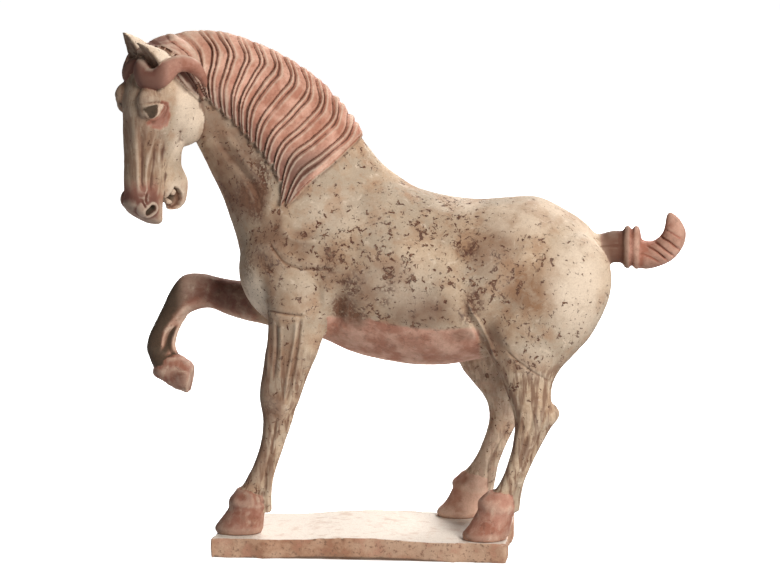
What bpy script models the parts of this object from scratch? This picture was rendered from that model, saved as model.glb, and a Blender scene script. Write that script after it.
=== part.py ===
"""A Tang pottery horse with one foreleg raised, on its own thin pottery plate.

The figure is one solid and the plate is another. Tables are in millimetres on a figure
465 mm tall, and are scaled to HORSE_HEIGHT. In them x runs from the head to the tail, y
from the near (left) side to the far side, and z up from the soles. Each row of a form is
one cut through it: the cut's two outline points as seen from the side, the y of its
middle and its half width.
"""

import math

import bmesh
import bpy
import numpy as np
from mathutils import Matrix

# Driving sizes, in metres and degrees
HORSE_HEIGHT = 0.465
PLATE_THICKNESS = 0.0185
TOE_MARGIN = 0.0015
HEEL_OVERHANG = 0.0015
NEAR_MARGIN = 0.002
FAR_MARGIN = 0.001
PLATE_NARROWING = 0.034
PLATE_ARCH = 0.003
PLATE_EDGE_LIFT = 0.003
EDGE_WEAR = 0.0011
SOLE_GAP = 0.0003

# Plate settings: its cuts along, across and up, the shares of its length to each side of the
# middle over which its top arches and its edges lift, the share of its width from the middle
# to where that lift starts, and the waves of its worn edge (along, across, start, strength)
PLATE_CUTS = (16, 8, 2)
ARCH_REACH = 0.24
LIFT_REACH = 0.3
LIFT_START = 0.25
WEAR_WAVES = [(23, 9, 0, 1.0), (41, -13, 2, 0.6)]
WEAR_SHARPNESS = 8

# Figure settings, in table millimetres
TABLE_HEIGHT = 465.0
MM = HORSE_HEIGHT / TABLE_HEIGHT
BODY_VOXEL = 2.5
SKIN_VOXEL = 1.8
SKIN_PASSES = 2
SMOOTHING = 0.5
RING_POINTS = 28
RINGS_PER_SPAN = 4
BLOB_SIDES = 20
BLOB_RINGS = 12
FIGURE_TRIANGLES = 8900
SOLE_BAND = 1.2

# Cross-sections: 2 is round and more is squarer; the neck's widest place sits low
HEAD_POWER = 2.4
LEG_POWER = 2.2
TENDON_POWER = 2.8
NECK_EGG = -0.18

# Head pose: where its face line meets the eye line, its turn to the near side, its roll
# with the far side up, and the tuck of its chin
HEAD_PLACE = (-213.5, -54.0, 391.5)
HEAD_TURN = 43.5
HEAD_ROLL = 4.0
HEAD_TUCK = 3.0

# Mane settings, in table millimetres: its step off the neck and the width of that step, its
# locks, and how much shallower they are on the crest, where the surface faces up
MANE_STEP = 4.5
MANE_STEP_WIDTH = 2.5
LOCK_DEPTH = 3.2
LOCK_HALF_WIDTH = 3.4
LOCK_NOTCH = 2.0
CREST_SHALLOWER = 0.6
CREST_FACING = (0.5, 0.9)

# The trunk's softening: where it starts above the soles, ahead and behind, and its passes
SOFT_ABOVE = 172.0
SOFT_FROM = -112.0
SOFT_TO = 225.0
SOFT_PASSES = 24

# Colours
SLIP_CREAM = (0.62, 0.53, 0.41, 1.0)
PLATE_CLAY = (0.58, 0.40, 0.28, 1.0)

TORSO = [
    (-118, 238, -118, 250, 0, 8),
    (-114, 222, -115, 267, 0, 26),
    (-104, 205, -107, 284, 0, 40),
    (-88, 192, -92, 302, 0, 50),
    (-65, 182, -68, 316, 0, 56),
    (-40, 177, -40, 325, 0, 59),
    (-12, 165, -8, 331, 0, 62),
    (18, 158, 20, 331, 0, 66),
    (48, 154, 48, 319, 0, 69),
    (78, 155, 76, 312, 0, 70),
    (105, 160, 104, 309, 0, 70),
    (130, 166, 132, 311, 0, 70),
    (155, 170, 158, 312, 0, 67),
    (180, 178, 183, 301, 0, 62),
    (200, 192, 203, 288, 0, 55),
    (215, 210, 216, 272, 0, 42),
    (224, 226, 224, 257, 0, 24),
    (228, 236, 228, 246, 0, 8),
]

NECK = [
    (-180, 402, -190, 445, -4, 16),
    (-168, 382, -172, 457, -3, 19),
    (-158, 360, -142, 459, -2, 22),
    (-146, 335, -108, 451, -1, 25),
    (-135, 312, -78, 438, 0, 29),
    (-127, 290, -47, 417, 0, 35),
    (-120, 268, -23, 393, 0, 41),
    (-116, 248, -2, 363, 0, 47),
    (-112, 230, 16, 341, 0, 52),
    (-96, 205, 42, 322, 0, 52),
]

NEAR_FORE_LEG = [
    (-104, 268, -30, 285, -30, 22),
    (-96, 240, -20, 252, -35, 24),
    (-88, 212, -27, 218, -38, 22),
    (-87, 190, -33, 192, -39, 18),
    (-89, 170, -40, 170, -40, 15.5),
    (-92, 150, -49, 150, -40, 14),
    (-94.5, 135, -55, 133, -40, 13.5),
    (-94.5, 124, -59, 122, -40, 13.5),
    (-92, 110, -65, 111, -40, 12),
    (-92, 98, -70, 99, -40, 10.5),
    (-95, 80, -77, 80, -40, 9.5),
    (-102, 60, -85, 61, -40, 9),
    (-110, 46, -89, 46, -40, 9.5),
    (-117, 36, -93, 33, -40, 11.5),
]

NEAR_FORE_TENDON = [
    (-72, 120, -61, 118, -40, 5),
    (-74, 105, -65, 103, -40, 6),
    (-78, 89, -70, 89, -40, 6),
    (-84, 71, -76, 71, -40, 6),
    (-89, 54, -81.5, 54, -40, 6),
    (-91, 37, -84, 37, -40, 6),
    (-91, 19, -84, 19, -40, 6),
]

NEAR_FORE_HOOF = [
    (-116, 42, -95, 40, -40, 11),
    (-120, 36, -91, 34, -40, 15),
    (-124.5, 30, -90, 27, -40, 18),
    (-124, 23, -91, 21, -40, 17.5),
    (-131, 13, -91.5, 12, -40, 18.5),
    (-137.5, 4, -92, 4, -40, 20),
    (-135, 0, -94, 0, -40, 18.5),
]

NEAR_HIND_LEG = [
    (140, 284, 190, 288, -18, 18),
    (124, 264, 212, 276, -29, 29),
    (114, 240, 227, 256, -36, 32),
    (109, 212, 228, 226, -40, 31),
    (111, 192, 214, 193, -42, 28),
    (116, 175, 198, 174, -44, 24),
    (125, 157, 184, 159, -46, 19.5),
    (132, 142, 177, 146, -47, 16.5),
    (137, 128, 175, 133, -48, 15),
    (141, 116, 177, 121, -49, 14),
    (142, 106, 178, 112, -49, 13),
    (141, 94, 168, 98, -49, 11.5),
    (138, 78, 158, 80, -49, 10),
    (132, 60, 149, 61, -48, 9),
    (125, 47, 144, 47, -48, 9.5),
    (114, 37, 142, 34, -47, 12),
]

NEAR_HIND_TENDON = [
    (168, 122, 179, 126, -49, 5),
    (170, 112, 183, 116, -49, 6.5),
    (164, 100, 174, 102, -49, 6),
    (158, 86, 166, 87, -49, 6),
    (150, 69, 158, 70, -49, 6),
    (143, 53, 151, 54, -48, 6),
    (140, 40, 148, 40, -48, 6),
    (139, 26, 146.5, 26, -48, 6),
]

NEAR_HIND_HOOF = [
    (118, 45, 143, 43, -48, 11),
    (112, 39, 143, 35, -48, 15),
    (108, 33, 143.5, 28, -48, 18),
    (108, 27, 141, 21, -48, 17.5),
    (101, 13, 139, 10, -48, 19),
    (94, 4, 137, 4, -48, 21),
    (96, 0, 134, 0, -48, 19.5),
]

FAR_HIND_LEG = [
    (138, 284, 188, 288, 18, 18),
    (116, 264, 210, 276, 29, 29),
    (102, 240, 225, 256, 36, 32),
    (88, 205, 220, 226, 41, 31),
    (81, 178, 200, 190, 45, 27),
    (80, 160, 176, 168, 48, 22),
    (86, 143, 158, 152, 50, 18),
    (96, 130, 150, 140, 51, 16),
    (104, 120, 147, 128, 52, 15),
    (110, 110, 148, 115, 53, 14),
    (112, 98, 146, 104, 54, 12.5),
    (110, 84, 133, 87, 55, 11),
    (104, 67, 121, 69, 55, 9.5),
    (96, 52, 114, 52, 56, 9.5),
    (86, 40, 112, 38, 56, 11.5),
]

FAR_HIND_TENDON = [
    (138, 118, 149, 121, 53, 5),
    (140, 108, 152, 111, 54, 6.5),
    (131, 92, 140, 93, 54, 6),
    (121, 70, 129, 71, 55, 6),
    (114, 52, 121.5, 52, 56, 6),
    (111, 38, 118.5, 38, 56, 6),
    (108, 22, 115.5, 22, 56, 6),
]

FAR_HIND_HOOF = [
    (88, 43, 112, 40, 56, 11),
    (82, 38, 112, 32, 57, 15),
    (77, 32, 112.5, 25, 57, 18),
    (77, 26, 110, 19, 57, 17.5),
    (70, 13, 107, 9, 57, 19),
    (62, 4, 105, 4, 57, 21),
    (64, 0, 102, 0, 57, 19.5),
]

RAISED_LEG = [
    (-62, 240, -62, 182, 30, 20),
    (-92, 232, -88, 182, 34, 19),
    (-118, 225, -112, 186, 38, 16.5),
    (-140, 227, -134, 192, 40, 14.5),
    (-160, 231, -151, 198, 41, 13.5),
    (-179, 229, -163, 197, 41, 13.5),
    (-191, 214, -172, 193, 41, 12.5),
    (-198, 199, -180, 186, 41, 10.5),
    (-206, 183, -190, 174, 41, 9.5),
    (-212, 170, -192, 163, 41, 9.5),
    (-214, 159, -189, 155, 41, 11),
    (-211, 149, -187, 149, 41, 11),
    (-208, 142, -178, 149, 41, 13),
]

RAISED_TENDON = [
    (-182, 193, -175, 189, 41, 4),
    (-185, 186, -179.5, 183, 41, 5.5),
    (-191, 176, -184.5, 172, 41, 6),
    (-194, 163, -186.5, 161, 41, 6),
    (-191, 155, -184, 154, 41, 5.5),
]

RAISED_HOOF = [
    (-205, 148, -183, 153, 41, 10),
    (-207.5, 140, -178, 150, 41, 14),
    (-207.5, 133, -173, 147, 41, 16.5),
    (-199, 128, -170.5, 144, 41, 17.5),
    (-187, 121, -169, 142, 41, 18.5),
    (-174, 116, -169.5, 141, 41, 19),
]

TAIL_ROOT = [
    (196, 268, 198, 252, 0, 12),
    (214, 277, 216, 250, 0, 14),
    (230, 281, 231, 251, 0, 13.5),
    (246, 280, 246, 252, 0, 13),
]

TAIL_PLUME = [
    (246, 276, 246, 250, 0, 11),
    (256, 273, 256, 246, 0, 13),
    (264, 272, 268, 247, 0, 13),
    (270, 275, 283, 254, 0, 13),
    (275, 281, 293, 266, 0, 12),
    (277, 289, 296, 279, 0, 9.5),
    (278, 296, 291, 291, 0, 6),
    (281, 299, 285, 297, 0, 2.5),
]

TAIL_KNOT = [
    (237.5, 279, 237.5, 252, 0, 12),
    (240, 285, 240, 247, 0, 16),
    (244, 286, 244, 246, 0, 16.5),
    (246.5, 280, 246.5, 251, 0, 13.5),
    (249, 286, 249, 246, 0, 16.5),
    (253, 284, 253, 246, 0, 16),
    (255, 277, 255, 250, 0, 12),
]

# Head tables: forward, height; forward, height; side; half width, from HEAD_PLACE
SKULL = [
    (-31, 56, -51, 63, 0, 9),
    (-20, 53, -64, 52, 0, 19),
    (-11, 38, -72, 36, 0, 23),
    (-4, 22, -73, 20, 0, 25),
    (0, 5, -70, 4, 0, 25),
    (0, -12, -66, -12, 0, 23),
    (0, -28, -58, -28, 0, 19),
    (0, -45, -46, -45, 0, 16.5),
    (0.5, -62, -38, -62, 0, 15.5),
    (1.5, -78, -35, -78, 0, 16.5),
    (2, -87, -33, -90, 0, 17.5),
    (-3, -95, -33, -99, 0, 16),
    (-11, -101, -33, -105, 0, 12.5),
    (-20, -106, -31, -108, 0, 6),
]

JAW = [
    (-32, -10, -71, -8, 0, 18),
    (-30, -24, -66, -24, 0, 17),
    (-27, -38, -57, -37, 0, 16),
    (-26, -52, -55, -52, 0, 15),
    (-28, -62, -58, -60, 0, 14.5),
    (-29, -72, -62, -69, 0, 14.5),
    (-33, -82, -62, -80, 0, 13),
    (-41, -90, -60, -89, 0, 10.5),
    (-43, -96, -56, -95, 0, 6),
]

# Blobs in the head frame: middle (forward, side, height) and radii; side ones are mirrored
CHEEK = ((-46, 0, 2), (33, 28, 32))
JOWL = ((-59, 0, -11.5), (22.5, 27, 27))
BROW = ((-11, 18.5, 11.5), (10.5, 9.5, 12.5))
EYE = ((-12, 18, 2), (10, 7.5, 7))
NOSTRIL = ((-9, 11, -88), (8, 7, 9))
FAR_NOSTRIL = ((-7, 11, -83.5), (8, 7, 9))

# Ear: tip first, each row its front edge, its back edge, side and half width; its front is
# hollowed by a share of its depth, and the near ear sits lower and further forward
EAR = [
    (-5, 70.5, -10, 70.5, 15, 2),
    (-7, 65, -22, 65.5, 16.5, 6),
    (-9.5, 57, -34, 58.5, 18, 9),
    (-13, 47.5, -41, 51, 19, 11),
    (-15, 38, -48, 42, 17, 12),
]
EAR_HOLLOW = 0.6
HOLLOW_HALF_ANGLE = 0.8
NEAR_EAR_DROP = 5.5
NEAR_EAR_FORWARD = 5.0

# Forelock: one horn-shaped lock for each side; forward, height, side, half height, half width;
# the far one lies further back
FORELOCK = [
    (-22, 44, 1, 8, 7),
    (-13, 39, 6, 10, 8),
    (-10.5, 32, 15, 10, 7.5),
    (-16, 32, 25, 9.7, 7),
    (-21, 36.4, 29.5, 9.6, 6.8),
    (-27, 42.8, 33, 8.4, 6.5),
    (-33.5, 45.6, 36, 7.8, 6.3),
    (-41, 44.8, 38, 7.2, 6),
    (-46.6, 41.8, 40, 6.3, 5.8),
    (-51.6, 36.8, 41.5, 5.2, 5),
    (-55.7, 30.5, 42, 3.8, 3.8),
    (-57.8, 25, 42, 2.2, 2.4),
    (-58.4, 21.8, 42, 1.1, 1.2),
]
FAR_LOCK_BACK = 4.0

# Mouth opening at each side of the head (forward, height), and the half width of the tongue
# between the two
MOUTH = [(-45.6, -75), (-50, -78), (-53, -85), (-51.5, -92), (-47, -95), (-41, -94), (-40.7, -82)]
MOUTH_DEPTH = 6.0
TONGUE_HALF_WIDTH = 3.0

# The mane's lower edge, its front edge on the head, and the line of every second lock from
# the crest to the lower edge
MANE_EDGE = [
    (-215, 458), (-192, 450), (-174, 430), (-160, 412), (-148, 401), (-138, 395), (-122, 382), (-103, 363),
    (-89, 349), (-77, 332), (-75, 322), (-74, 303), (-65, 308), (-54, 316), (-38, 331), (-20, 350),
    (-4, 366), (12, 392),
]
ABOVE_CREST = [(60, 520), (-260, 520)]
POLL_LINE_HEIGHT = [0, 7, 14, 21.5, 28.6, 45, 62]
POLL_LINE_FORWARD = [-90, -64, -55, -46, -39, -24, -10]
LOCK_LINES = [
    [(-204, 452), (-184, 447), (-170, 441), (-158, 427), (-146, 404)],
    [(-160, 468), (-142, 451), (-140, 436), (-143, 418), (-140, 394)],
    [(-124, 466), (-110, 443), (-114, 427), (-121, 404), (-119, 371)],
    [(-94, 455), (-82, 434), (-92, 418), (-106, 391), (-105, 352)],
    [(-62, 435), (-52, 413), (-66, 392), (-87, 367), (-92, 330)],
    [(-29, 406), (-28, 386), (-45, 368), (-67, 349), (-76, 308)],
    [(0, 378), (-5, 359), (-25, 342), (-50, 323), (-68, 296)],
]

# Carved lines: path, reach to each side and height, a groove where the height is negative
BODY_LINES = [
    ([(-83, -50, 271), (-70, -56, 255), (-57, -58, 250), (-27, -58, 249)], 5, -1.8),
    ([(-71, -49, 283), (-59, -53, 275), (-47, -53, 274), (-33, -55, 275)], 6, 1.4),
    ([(-86, -46, 209), (-68, -57, 207), (-50, -57, 205)], 5, -2.4),
    ([(-58, -58, 201), (-63, -56, 168), (-70, -53, 126)], 4, 1.6),
    ([(-54, -57, 204), (-59, -54, 168), (-68, -52, 124)], 4, -2.2),
    ([(-77, -53, 199), (-80, -52, 146)], 4, -1.6),
    ([(-18, -58, 233), (-19, -56, 218), (-22, -51, 205), (-28, -44, 192)], 10, -4.5),
    ([(-6, -58, 226), (-7, -56, 212), (-12, -50, 200)], 12, -2.5),
    ([(-31, -58, 240), (-32, -57, 222), (-35, -55, 204)], 6, 1.5),
    ([(100, -65, 223), (110, -61, 203), (118, -56, 185), (126, -57, 166)], 5, 1.5),
    ([(96, -65, 220), (106, -58, 197), (113, -53, 180)], 6, -2.4),
    ([(112, -62, 206), (121, -62, 190), (129, -62, 178), (138, -62, 160)], 11, -2.4),
    ([(-139, -25, 372), (-113, -31, 337), (-92, -42, 298)], 7, -1.6),
    ([(229, 0, 244), (222, 0, 218), (206, 0, 196), (188, 0, 184)], 11, -5.0),
    ([(-40, 58, 274), (-60, 54, 270), (-80, 44, 262)], 6, -1.6),
    ([(94, 66, 212), (102, 64, 194), (112, 58, 177)], 7, -2.4),
    ([(264, -11, 267), (270, -13, 263), (279, -9, 255)], 2.5, -1.6),
    ([(271, -11, 270), (276, -13, 266), (286, -7, 258)], 2.5, -1.6),
    ([(276, -10, 275), (282, -12, 272), (291, -7, 264)], 2.5, -1.6),
]
HEAD_LINES = [
    ([(-2, 9, -10), (-3.5, 9, -45), (-5, 12, -78)], 4, 1.2),
    ([(-6, 14, -15), (-7, 13, -58), (-6, 12, -75)], 4, -1.7),
    ([(-18, 19, -16), (-13.7, 16, -35), (-10, 15, -51), (-8, 13, -72)], 4, 1.6),
    ([(-19, 17, -31), (-17, 15, -55), (-13.5, 15, -78)], 4, -1.6),
    ([(-22, 18, -34), (-24, 16, -55), (-20.5, 17, -82)], 4, 1.2),
    ([(-27, 19, -24), (-28, 17, -36), (-26, 16, -50)], 5.5, -1.8),
    ([(-14, 17, -89), (-13, 17, -93)], 4.5, -3.5),
    ([(-1, 20, 9.5), (-7, 24, 10.6), (-16, 26, 10.5), (-25, 25, 8)], 3, -1.3),
]


def clear_scene():
    """Remove what the start-up file holds."""
    for item in list(bpy.data.objects):
        bpy.data.objects.remove(item, do_unlink=True)


def spline(rows, steps):
    """Rows of numbers, with the rows between them on a smooth curve."""
    rows = np.asarray(rows, dtype=float)
    padded = np.vstack([2 * rows[0] - rows[1], rows, 2 * rows[-1] - rows[-2]])
    result = []
    for start in range(len(rows) - 1):
        before, here, there, after = padded[start:start + 4]
        for step in range(steps):
            t = step / steps
            curve = 2 * here + (there - before) * t
            curve = curve + (2 * before - 5 * here + 4 * there - after) * t ** 2
            curve = curve + (3 * here - before - 3 * there + after) * t ** 3
            result.append(curve / 2)
    result.append(rows[-1])
    return np.array(result)


def cut_ring(row, egg, power, hollow):
    """The points of one cut; egg moves its widest place, power squares it, hollow dents its front."""
    x1, z1, x2, z2, y, half_width = row
    angle = np.arange(RING_POINTS) * 2 * math.pi / RING_POINTS
    along = np.sign(np.cos(angle)) * np.abs(np.cos(angle)) ** (2 / power)
    across = np.sign(np.sin(angle)) * np.abs(np.sin(angle)) ** (2 / power)
    across = across * (1 - egg * along)
    from_front = np.minimum(angle, 2 * math.pi - angle)
    along = along - hollow * np.exp(-(from_front / HOLLOW_HALF_ANGLE) ** 4)
    middle = np.array([(x1 + x2) / 2, y, (z1 + z2) / 2])
    reach = np.array([(x1 - x2) / 2, 0, (z1 - z2) / 2])
    side = np.array([0, half_width, 0])
    return middle + along[:, None] * reach + across[:, None] * side


def add_rings(mesh, rings):
    """Skin the rings, close both ends and add the body to the mesh."""
    loops = []
    for ring in rings:
        loops.append([mesh.verts.new(point) for point in ring])
    for lower, upper in zip(loops, loops[1:]):
        for i in range(len(lower)):
            j = (i + 1) % len(lower)
            mesh.faces.new((lower[i], lower[j], upper[j], upper[i]))
    mesh.faces.new(loops[0][::-1])
    mesh.faces.new(loops[-1])


def add_form(mesh, rows, egg=0.0, power=2.0, hollow=0.0):
    """Add the form that a table of cuts describes."""
    rings = [cut_ring(row, egg, power, hollow) for row in spline(rows, RINGS_PER_SPAN)]
    add_rings(mesh, rings)


def head_frame():
    """The matrix from the head's forward, side and height to the figure."""
    turn = math.radians(HEAD_TURN)
    roll = math.radians(HEAD_ROLL)
    tuck = math.radians(HEAD_TUCK)
    level = np.array([-math.cos(turn), -math.sin(turn), 0])
    upright = np.array([0, 0, 1.0])
    forward = level * math.cos(tuck) - upright * math.sin(tuck)
    tucked_up = upright * math.cos(tuck) + level * math.sin(tuck)
    level_side = np.array([math.sin(turn), -math.cos(turn), 0])
    side = level_side * math.cos(roll) - tucked_up * math.sin(roll)
    top = tucked_up * math.cos(roll) + level_side * math.sin(roll)
    frame = np.eye(4)
    frame[:3, 0] = forward
    frame[:3, 1] = side
    frame[:3, 2] = top
    frame[:3, 3] = HEAD_PLACE
    return Matrix(frame.tolist())


def add_blob(mesh, blob, side=1):
    """Add an ellipsoid at its middle, on the given side of the head."""
    middle, radii = blob
    place = Matrix.Translation((middle[0], middle[1] * side, middle[2]))
    size = Matrix.Diagonal((*radii, 1.0))
    counts = {"u_segments": BLOB_SIDES, "v_segments": BLOB_RINGS}
    bmesh.ops.create_uvsphere(mesh, radius=1.0, matrix=place @ size, **counts)


def mirrored(rows, side):
    """A table of cuts moved to the given side."""
    return [(*row[:4], row[4] * side, row[5]) for row in rows]


def ear_rows(side):
    """The ear on the given side; the near one sits lower and further forward."""
    if side == -1:
        return mirrored(EAR, side)
    rows = []
    for count, (f1, h1, f2, h2, across, half_width) in enumerate(EAR):
        drop = NEAR_EAR_DROP * (1 - count / (len(EAR) - 1))
        rows.append((f1 + NEAR_EAR_FORWARD, h1 - drop, f2 + NEAR_EAR_FORWARD, h2 - drop, across, half_width))
    return rows


def add_forelock(mesh, side):
    """Add one horn-shaped lock, its rings square to its path."""
    rows = spline(FORELOCK, RINGS_PER_SPAN)
    path = rows[:, [0, 2, 1]]
    path[:, 0] -= FAR_LOCK_BACK * (side == -1)
    path[:, 1] *= side
    heading = np.gradient(path, axis=0)
    heading /= np.linalg.norm(heading, axis=1)[:, None]
    angle = np.arange(RING_POINTS) * 2 * math.pi / RING_POINTS
    rings = []
    for middle, ahead, row in zip(path, heading, rows):
        outward = np.cross(ahead, (0, 0, 1))
        outward /= np.linalg.norm(outward)
        upward = np.cross(outward, ahead)
        ring = middle + np.cos(angle)[:, None] * upward * row[3]
        rings.append(ring + np.sin(angle)[:, None] * outward * row[4])
    add_rings(mesh, rings)


def head_mesh():
    """The head without its ears and forelock, turned to its place."""
    mesh = bmesh.new()
    add_form(mesh, SKULL, power=HEAD_POWER)
    add_form(mesh, JAW, power=HEAD_POWER)
    add_blob(mesh, CHEEK)
    add_blob(mesh, JOWL)
    for side in (-1, 1):
        add_blob(mesh, BROW, side)
        add_blob(mesh, EYE, side)
        add_blob(mesh, NOSTRIL if side == 1 else FAR_NOSTRIL, side)
    bmesh.ops.transform(mesh, matrix=head_frame(), verts=mesh.verts)
    return mesh


def tuft_mesh():
    """The ears and the forelock, turned to their place."""
    mesh = bmesh.new()
    for side in (-1, 1):
        add_form(mesh, ear_rows(side), hollow=EAR_HOLLOW)
        add_forelock(mesh, side)
    bmesh.ops.transform(mesh, matrix=head_frame(), verts=mesh.verts)
    return mesh


def body_mesh():
    """The trunk, neck, legs and tail as overlapping forms."""
    mesh = bmesh.new()
    add_form(mesh, TORSO)
    add_form(mesh, NECK, egg=NECK_EGG)
    for rows in (NEAR_FORE_LEG, NEAR_HIND_LEG, FAR_HIND_LEG, RAISED_LEG):
        add_form(mesh, rows, power=LEG_POWER)
    for rows in (NEAR_FORE_TENDON, NEAR_HIND_TENDON, FAR_HIND_TENDON, RAISED_TENDON):
        add_form(mesh, rows, power=TENDON_POWER)
    for rows in (NEAR_FORE_HOOF, NEAR_HIND_HOOF, FAR_HIND_HOOF, RAISED_HOOF):
        add_form(mesh, rows)
    add_form(mesh, TAIL_ROOT)
    add_form(mesh, TAIL_PLUME)
    add_form(mesh, TAIL_KNOT)
    return mesh


def evaluated_copy(mesh, modifiers, soft=None):
    """The mesh as the given modifiers leave it; soft lists the points of a vertex group."""
    holder = bpy.data.objects.new("working", mesh)
    bpy.context.scene.collection.objects.link(holder)
    if soft is not None:
        holder.vertex_groups.new(name="soft").add(soft, 1.0, "REPLACE")
    for kind, settings in modifiers:
        modifier = holder.modifiers.new(kind.lower(), kind)
        for key, value in settings.items():
            setattr(modifier, key, value)
    graph = bpy.context.evaluated_depsgraph_get()
    result = bpy.data.meshes.new_from_object(holder.evaluated_get(graph))
    bpy.data.objects.remove(holder, do_unlink=True)
    return result


def fused(form, voxel):
    """One skin around all the overlapping bodies of a bmesh."""
    mesh = bpy.data.meshes.new("fused")
    bmesh.ops.recalc_face_normals(form, faces=form.faces)
    form.to_mesh(mesh)
    form.free()
    remesh = ("REMESH", {"mode": "VOXEL", "voxel_size": voxel, "adaptivity": 0.0})
    smooth = ("SMOOTH", {"factor": SMOOTHING, "iterations": SKIN_PASSES})
    return evaluated_copy(mesh, [remesh, smooth])


def points_of(mesh):
    """Vertex places and normals as arrays."""
    places = np.empty(len(mesh.vertices) * 3)
    normals = np.empty(len(mesh.vertices) * 3)
    mesh.vertices.foreach_get("co", places)
    mesh.vertex_normals.foreach_get("vector", normals)
    return places.reshape(-1, 3), normals.reshape(-1, 3)


def set_points(mesh, places):
    """Write the vertex places back."""
    mesh.vertices.foreach_set("co", places.ravel())
    mesh.update()


def distance_to_path(places, path):
    """Distance from each place to a path of two or three coordinates."""
    path = np.asarray(path, dtype=float)
    nearest = np.full(len(places), np.inf)
    for start, end in zip(path, path[1:]):
        span = end - start
        share = np.clip((places - start) @ span / (span @ span), 0, 1)
        gap = np.linalg.norm(places - start - share[:, None] * span, axis=1)
        nearest = np.minimum(nearest, gap)
    return nearest


def depth_inside(places, outline):
    """Distance in the side view to a closed outline, negative outside it."""
    outline = np.asarray(outline + outline[:1], dtype=float)
    inside = np.zeros(len(places), dtype=bool)
    for start, end in zip(outline, outline[1:]):
        if start[1] == end[1]:
            continue
        between = (start[1] > places[:, 1]) != (end[1] > places[:, 1])
        share = (places[:, 1] - start[1]) / (end[1] - start[1])
        crossing = start[0] + share * (end[0] - start[0])
        inside ^= between & (places[:, 0] < crossing)
    return distance_to_path(places, outline) * np.where(inside, 1, -1)


def smooth_step(values, low, high):
    """0 below low, 1 above high, with a smooth way between."""
    t = np.clip((values - low) / (high - low), 0, 1)
    return t * t * (3 - 2 * t)


def carve(places, normals, lines):
    """Raise or sink the surface along each line."""
    moved = places.copy()
    for path, reach, height in lines:
        gap = distance_to_path(places, spline(path, RINGS_PER_SPAN))
        moved += normals * (height * (1 - smooth_step(gap, 0, reach)))[:, None]
    return moved


def lock_curves():
    """The line of every lock, those of the table and those halfway between them."""
    table = [spline(line, RINGS_PER_SPAN) for line in LOCK_LINES]
    lines = []
    for line, following in zip(table, table[1:]):
        lines += [line, (line + following) / 2]
    lines.append(table[-1])
    return lines


def softened(mesh):
    """The trunk, neck and thighs run into each other as smoothed clay does."""
    places = points_of(mesh)[0]
    trunk = (places[:, 2] > SOFT_ABOVE) & (places[:, 0] > SOFT_FROM) & (places[:, 0] < SOFT_TO)
    soft = [int(i) for i in np.nonzero(trunk)[0]]
    settings = {"factor": SMOOTHING, "iterations": SOFT_PASSES, "vertex_group": "soft"}
    return evaluated_copy(mesh, [("SMOOTH", settings)], soft)


def in_frame(places, frame):
    """The places after a matrix."""
    padded = np.hstack([places, np.ones((len(places), 1))])
    return (padded @ np.array(frame).T)[:, :3]


def inside_neck_mane(places):
    """How far each point lies within the mane of the neck, negative outside it."""
    return depth_inside(places[:, [0, 2]], MANE_EDGE + ABOVE_CREST)


def inside_poll_mane(places):
    """How far each point lies behind the front edge of the mane on the head."""
    forward, _, height = in_frame(places, head_frame().inverted()).T
    return np.interp(height, POLL_LINE_HEIGHT, POLL_LINE_FORWARD) - forward


def with_mane(mesh, inside_mane):
    """Lay the mane on the surface and cut its locks."""
    places, normals = points_of(mesh)
    gap = np.full(len(places), np.inf)
    for line in lock_curves():
        gap = np.minimum(gap, distance_to_path(places[:, [0, 2]], line))
    groove = 1 - smooth_step(gap, 0, LOCK_HALF_WIDTH)
    inside = inside_mane(places) - LOCK_NOTCH * groove
    step = smooth_step(inside, -MANE_STEP_WIDTH / 2, MANE_STEP_WIDTH / 2)
    on_crest = smooth_step(normals[:, 2], *CREST_FACING)
    depth = LOCK_DEPTH * groove * (1 - CREST_SHALLOWER * on_crest)
    set_points(mesh, places + normals * (step * (MANE_STEP - depth))[:, None])
    return mesh


def joined(meshes, form):
    """A bmesh that holds the meshes and the form."""
    for mesh in meshes:
        form.from_mesh(mesh)
    return form


def flat_soles(places):
    """Bring the soles of the standing hooves level."""
    places[:, 2] = np.where(places[:, 2] < SOLE_BAND, 0.0, places[:, 2])
    return places


def head_lines():
    """The head's carved lines on both sides, in figure places."""
    lines = []
    for path, reach, height in HEAD_LINES:
        for side in (-1, 1):
            local = np.array([(forward, across * side, up) for forward, across, up in path])
            lines.append((in_frame(local, head_frame()), reach, height))
    return lines


def open_mouth(places):
    """Sink the mouth opening at both sides of the head, no further out than the jaw's width."""
    jaw_width = 2 * max(row[-1] for row in JAW)
    local = in_frame(places, head_frame().inverted())
    side = np.abs(local[:, 1])
    inside = smooth_step(depth_inside(local[:, [0, 2]], MOUTH), -1, 2) * (side < jaw_width)
    sink = np.clip(side - TONGUE_HALF_WIDTH, 0, MOUTH_DEPTH) * inside
    local[:, 1] -= np.sign(local[:, 1]) * sink
    return in_frame(local, head_frame())


def figure_mesh():
    """The whole horse in metres, standing just clear of the plate."""
    body = with_mane(softened(fused(body_mesh(), BODY_VOXEL)), inside_neck_mane)
    head = with_mane(fused(head_mesh(), SKIN_VOXEL), inside_poll_mane)
    whole = fused(joined([body, head], tuft_mesh()), SKIN_VOXEL)
    places, normals = points_of(whole)
    places = carve(places, normals, BODY_LINES + head_lines())
    places = flat_soles(open_mouth(places)) * MM
    places[:, 2] += PLATE_THICKNESS + SOLE_GAP
    set_points(whole, places)
    ratio = FIGURE_TRIANGLES / (2 * len(whole.polygons))
    return evaluated_copy(whole, [("DECIMATE", {"ratio": ratio, "use_collapse_triangulate": True})])


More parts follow.
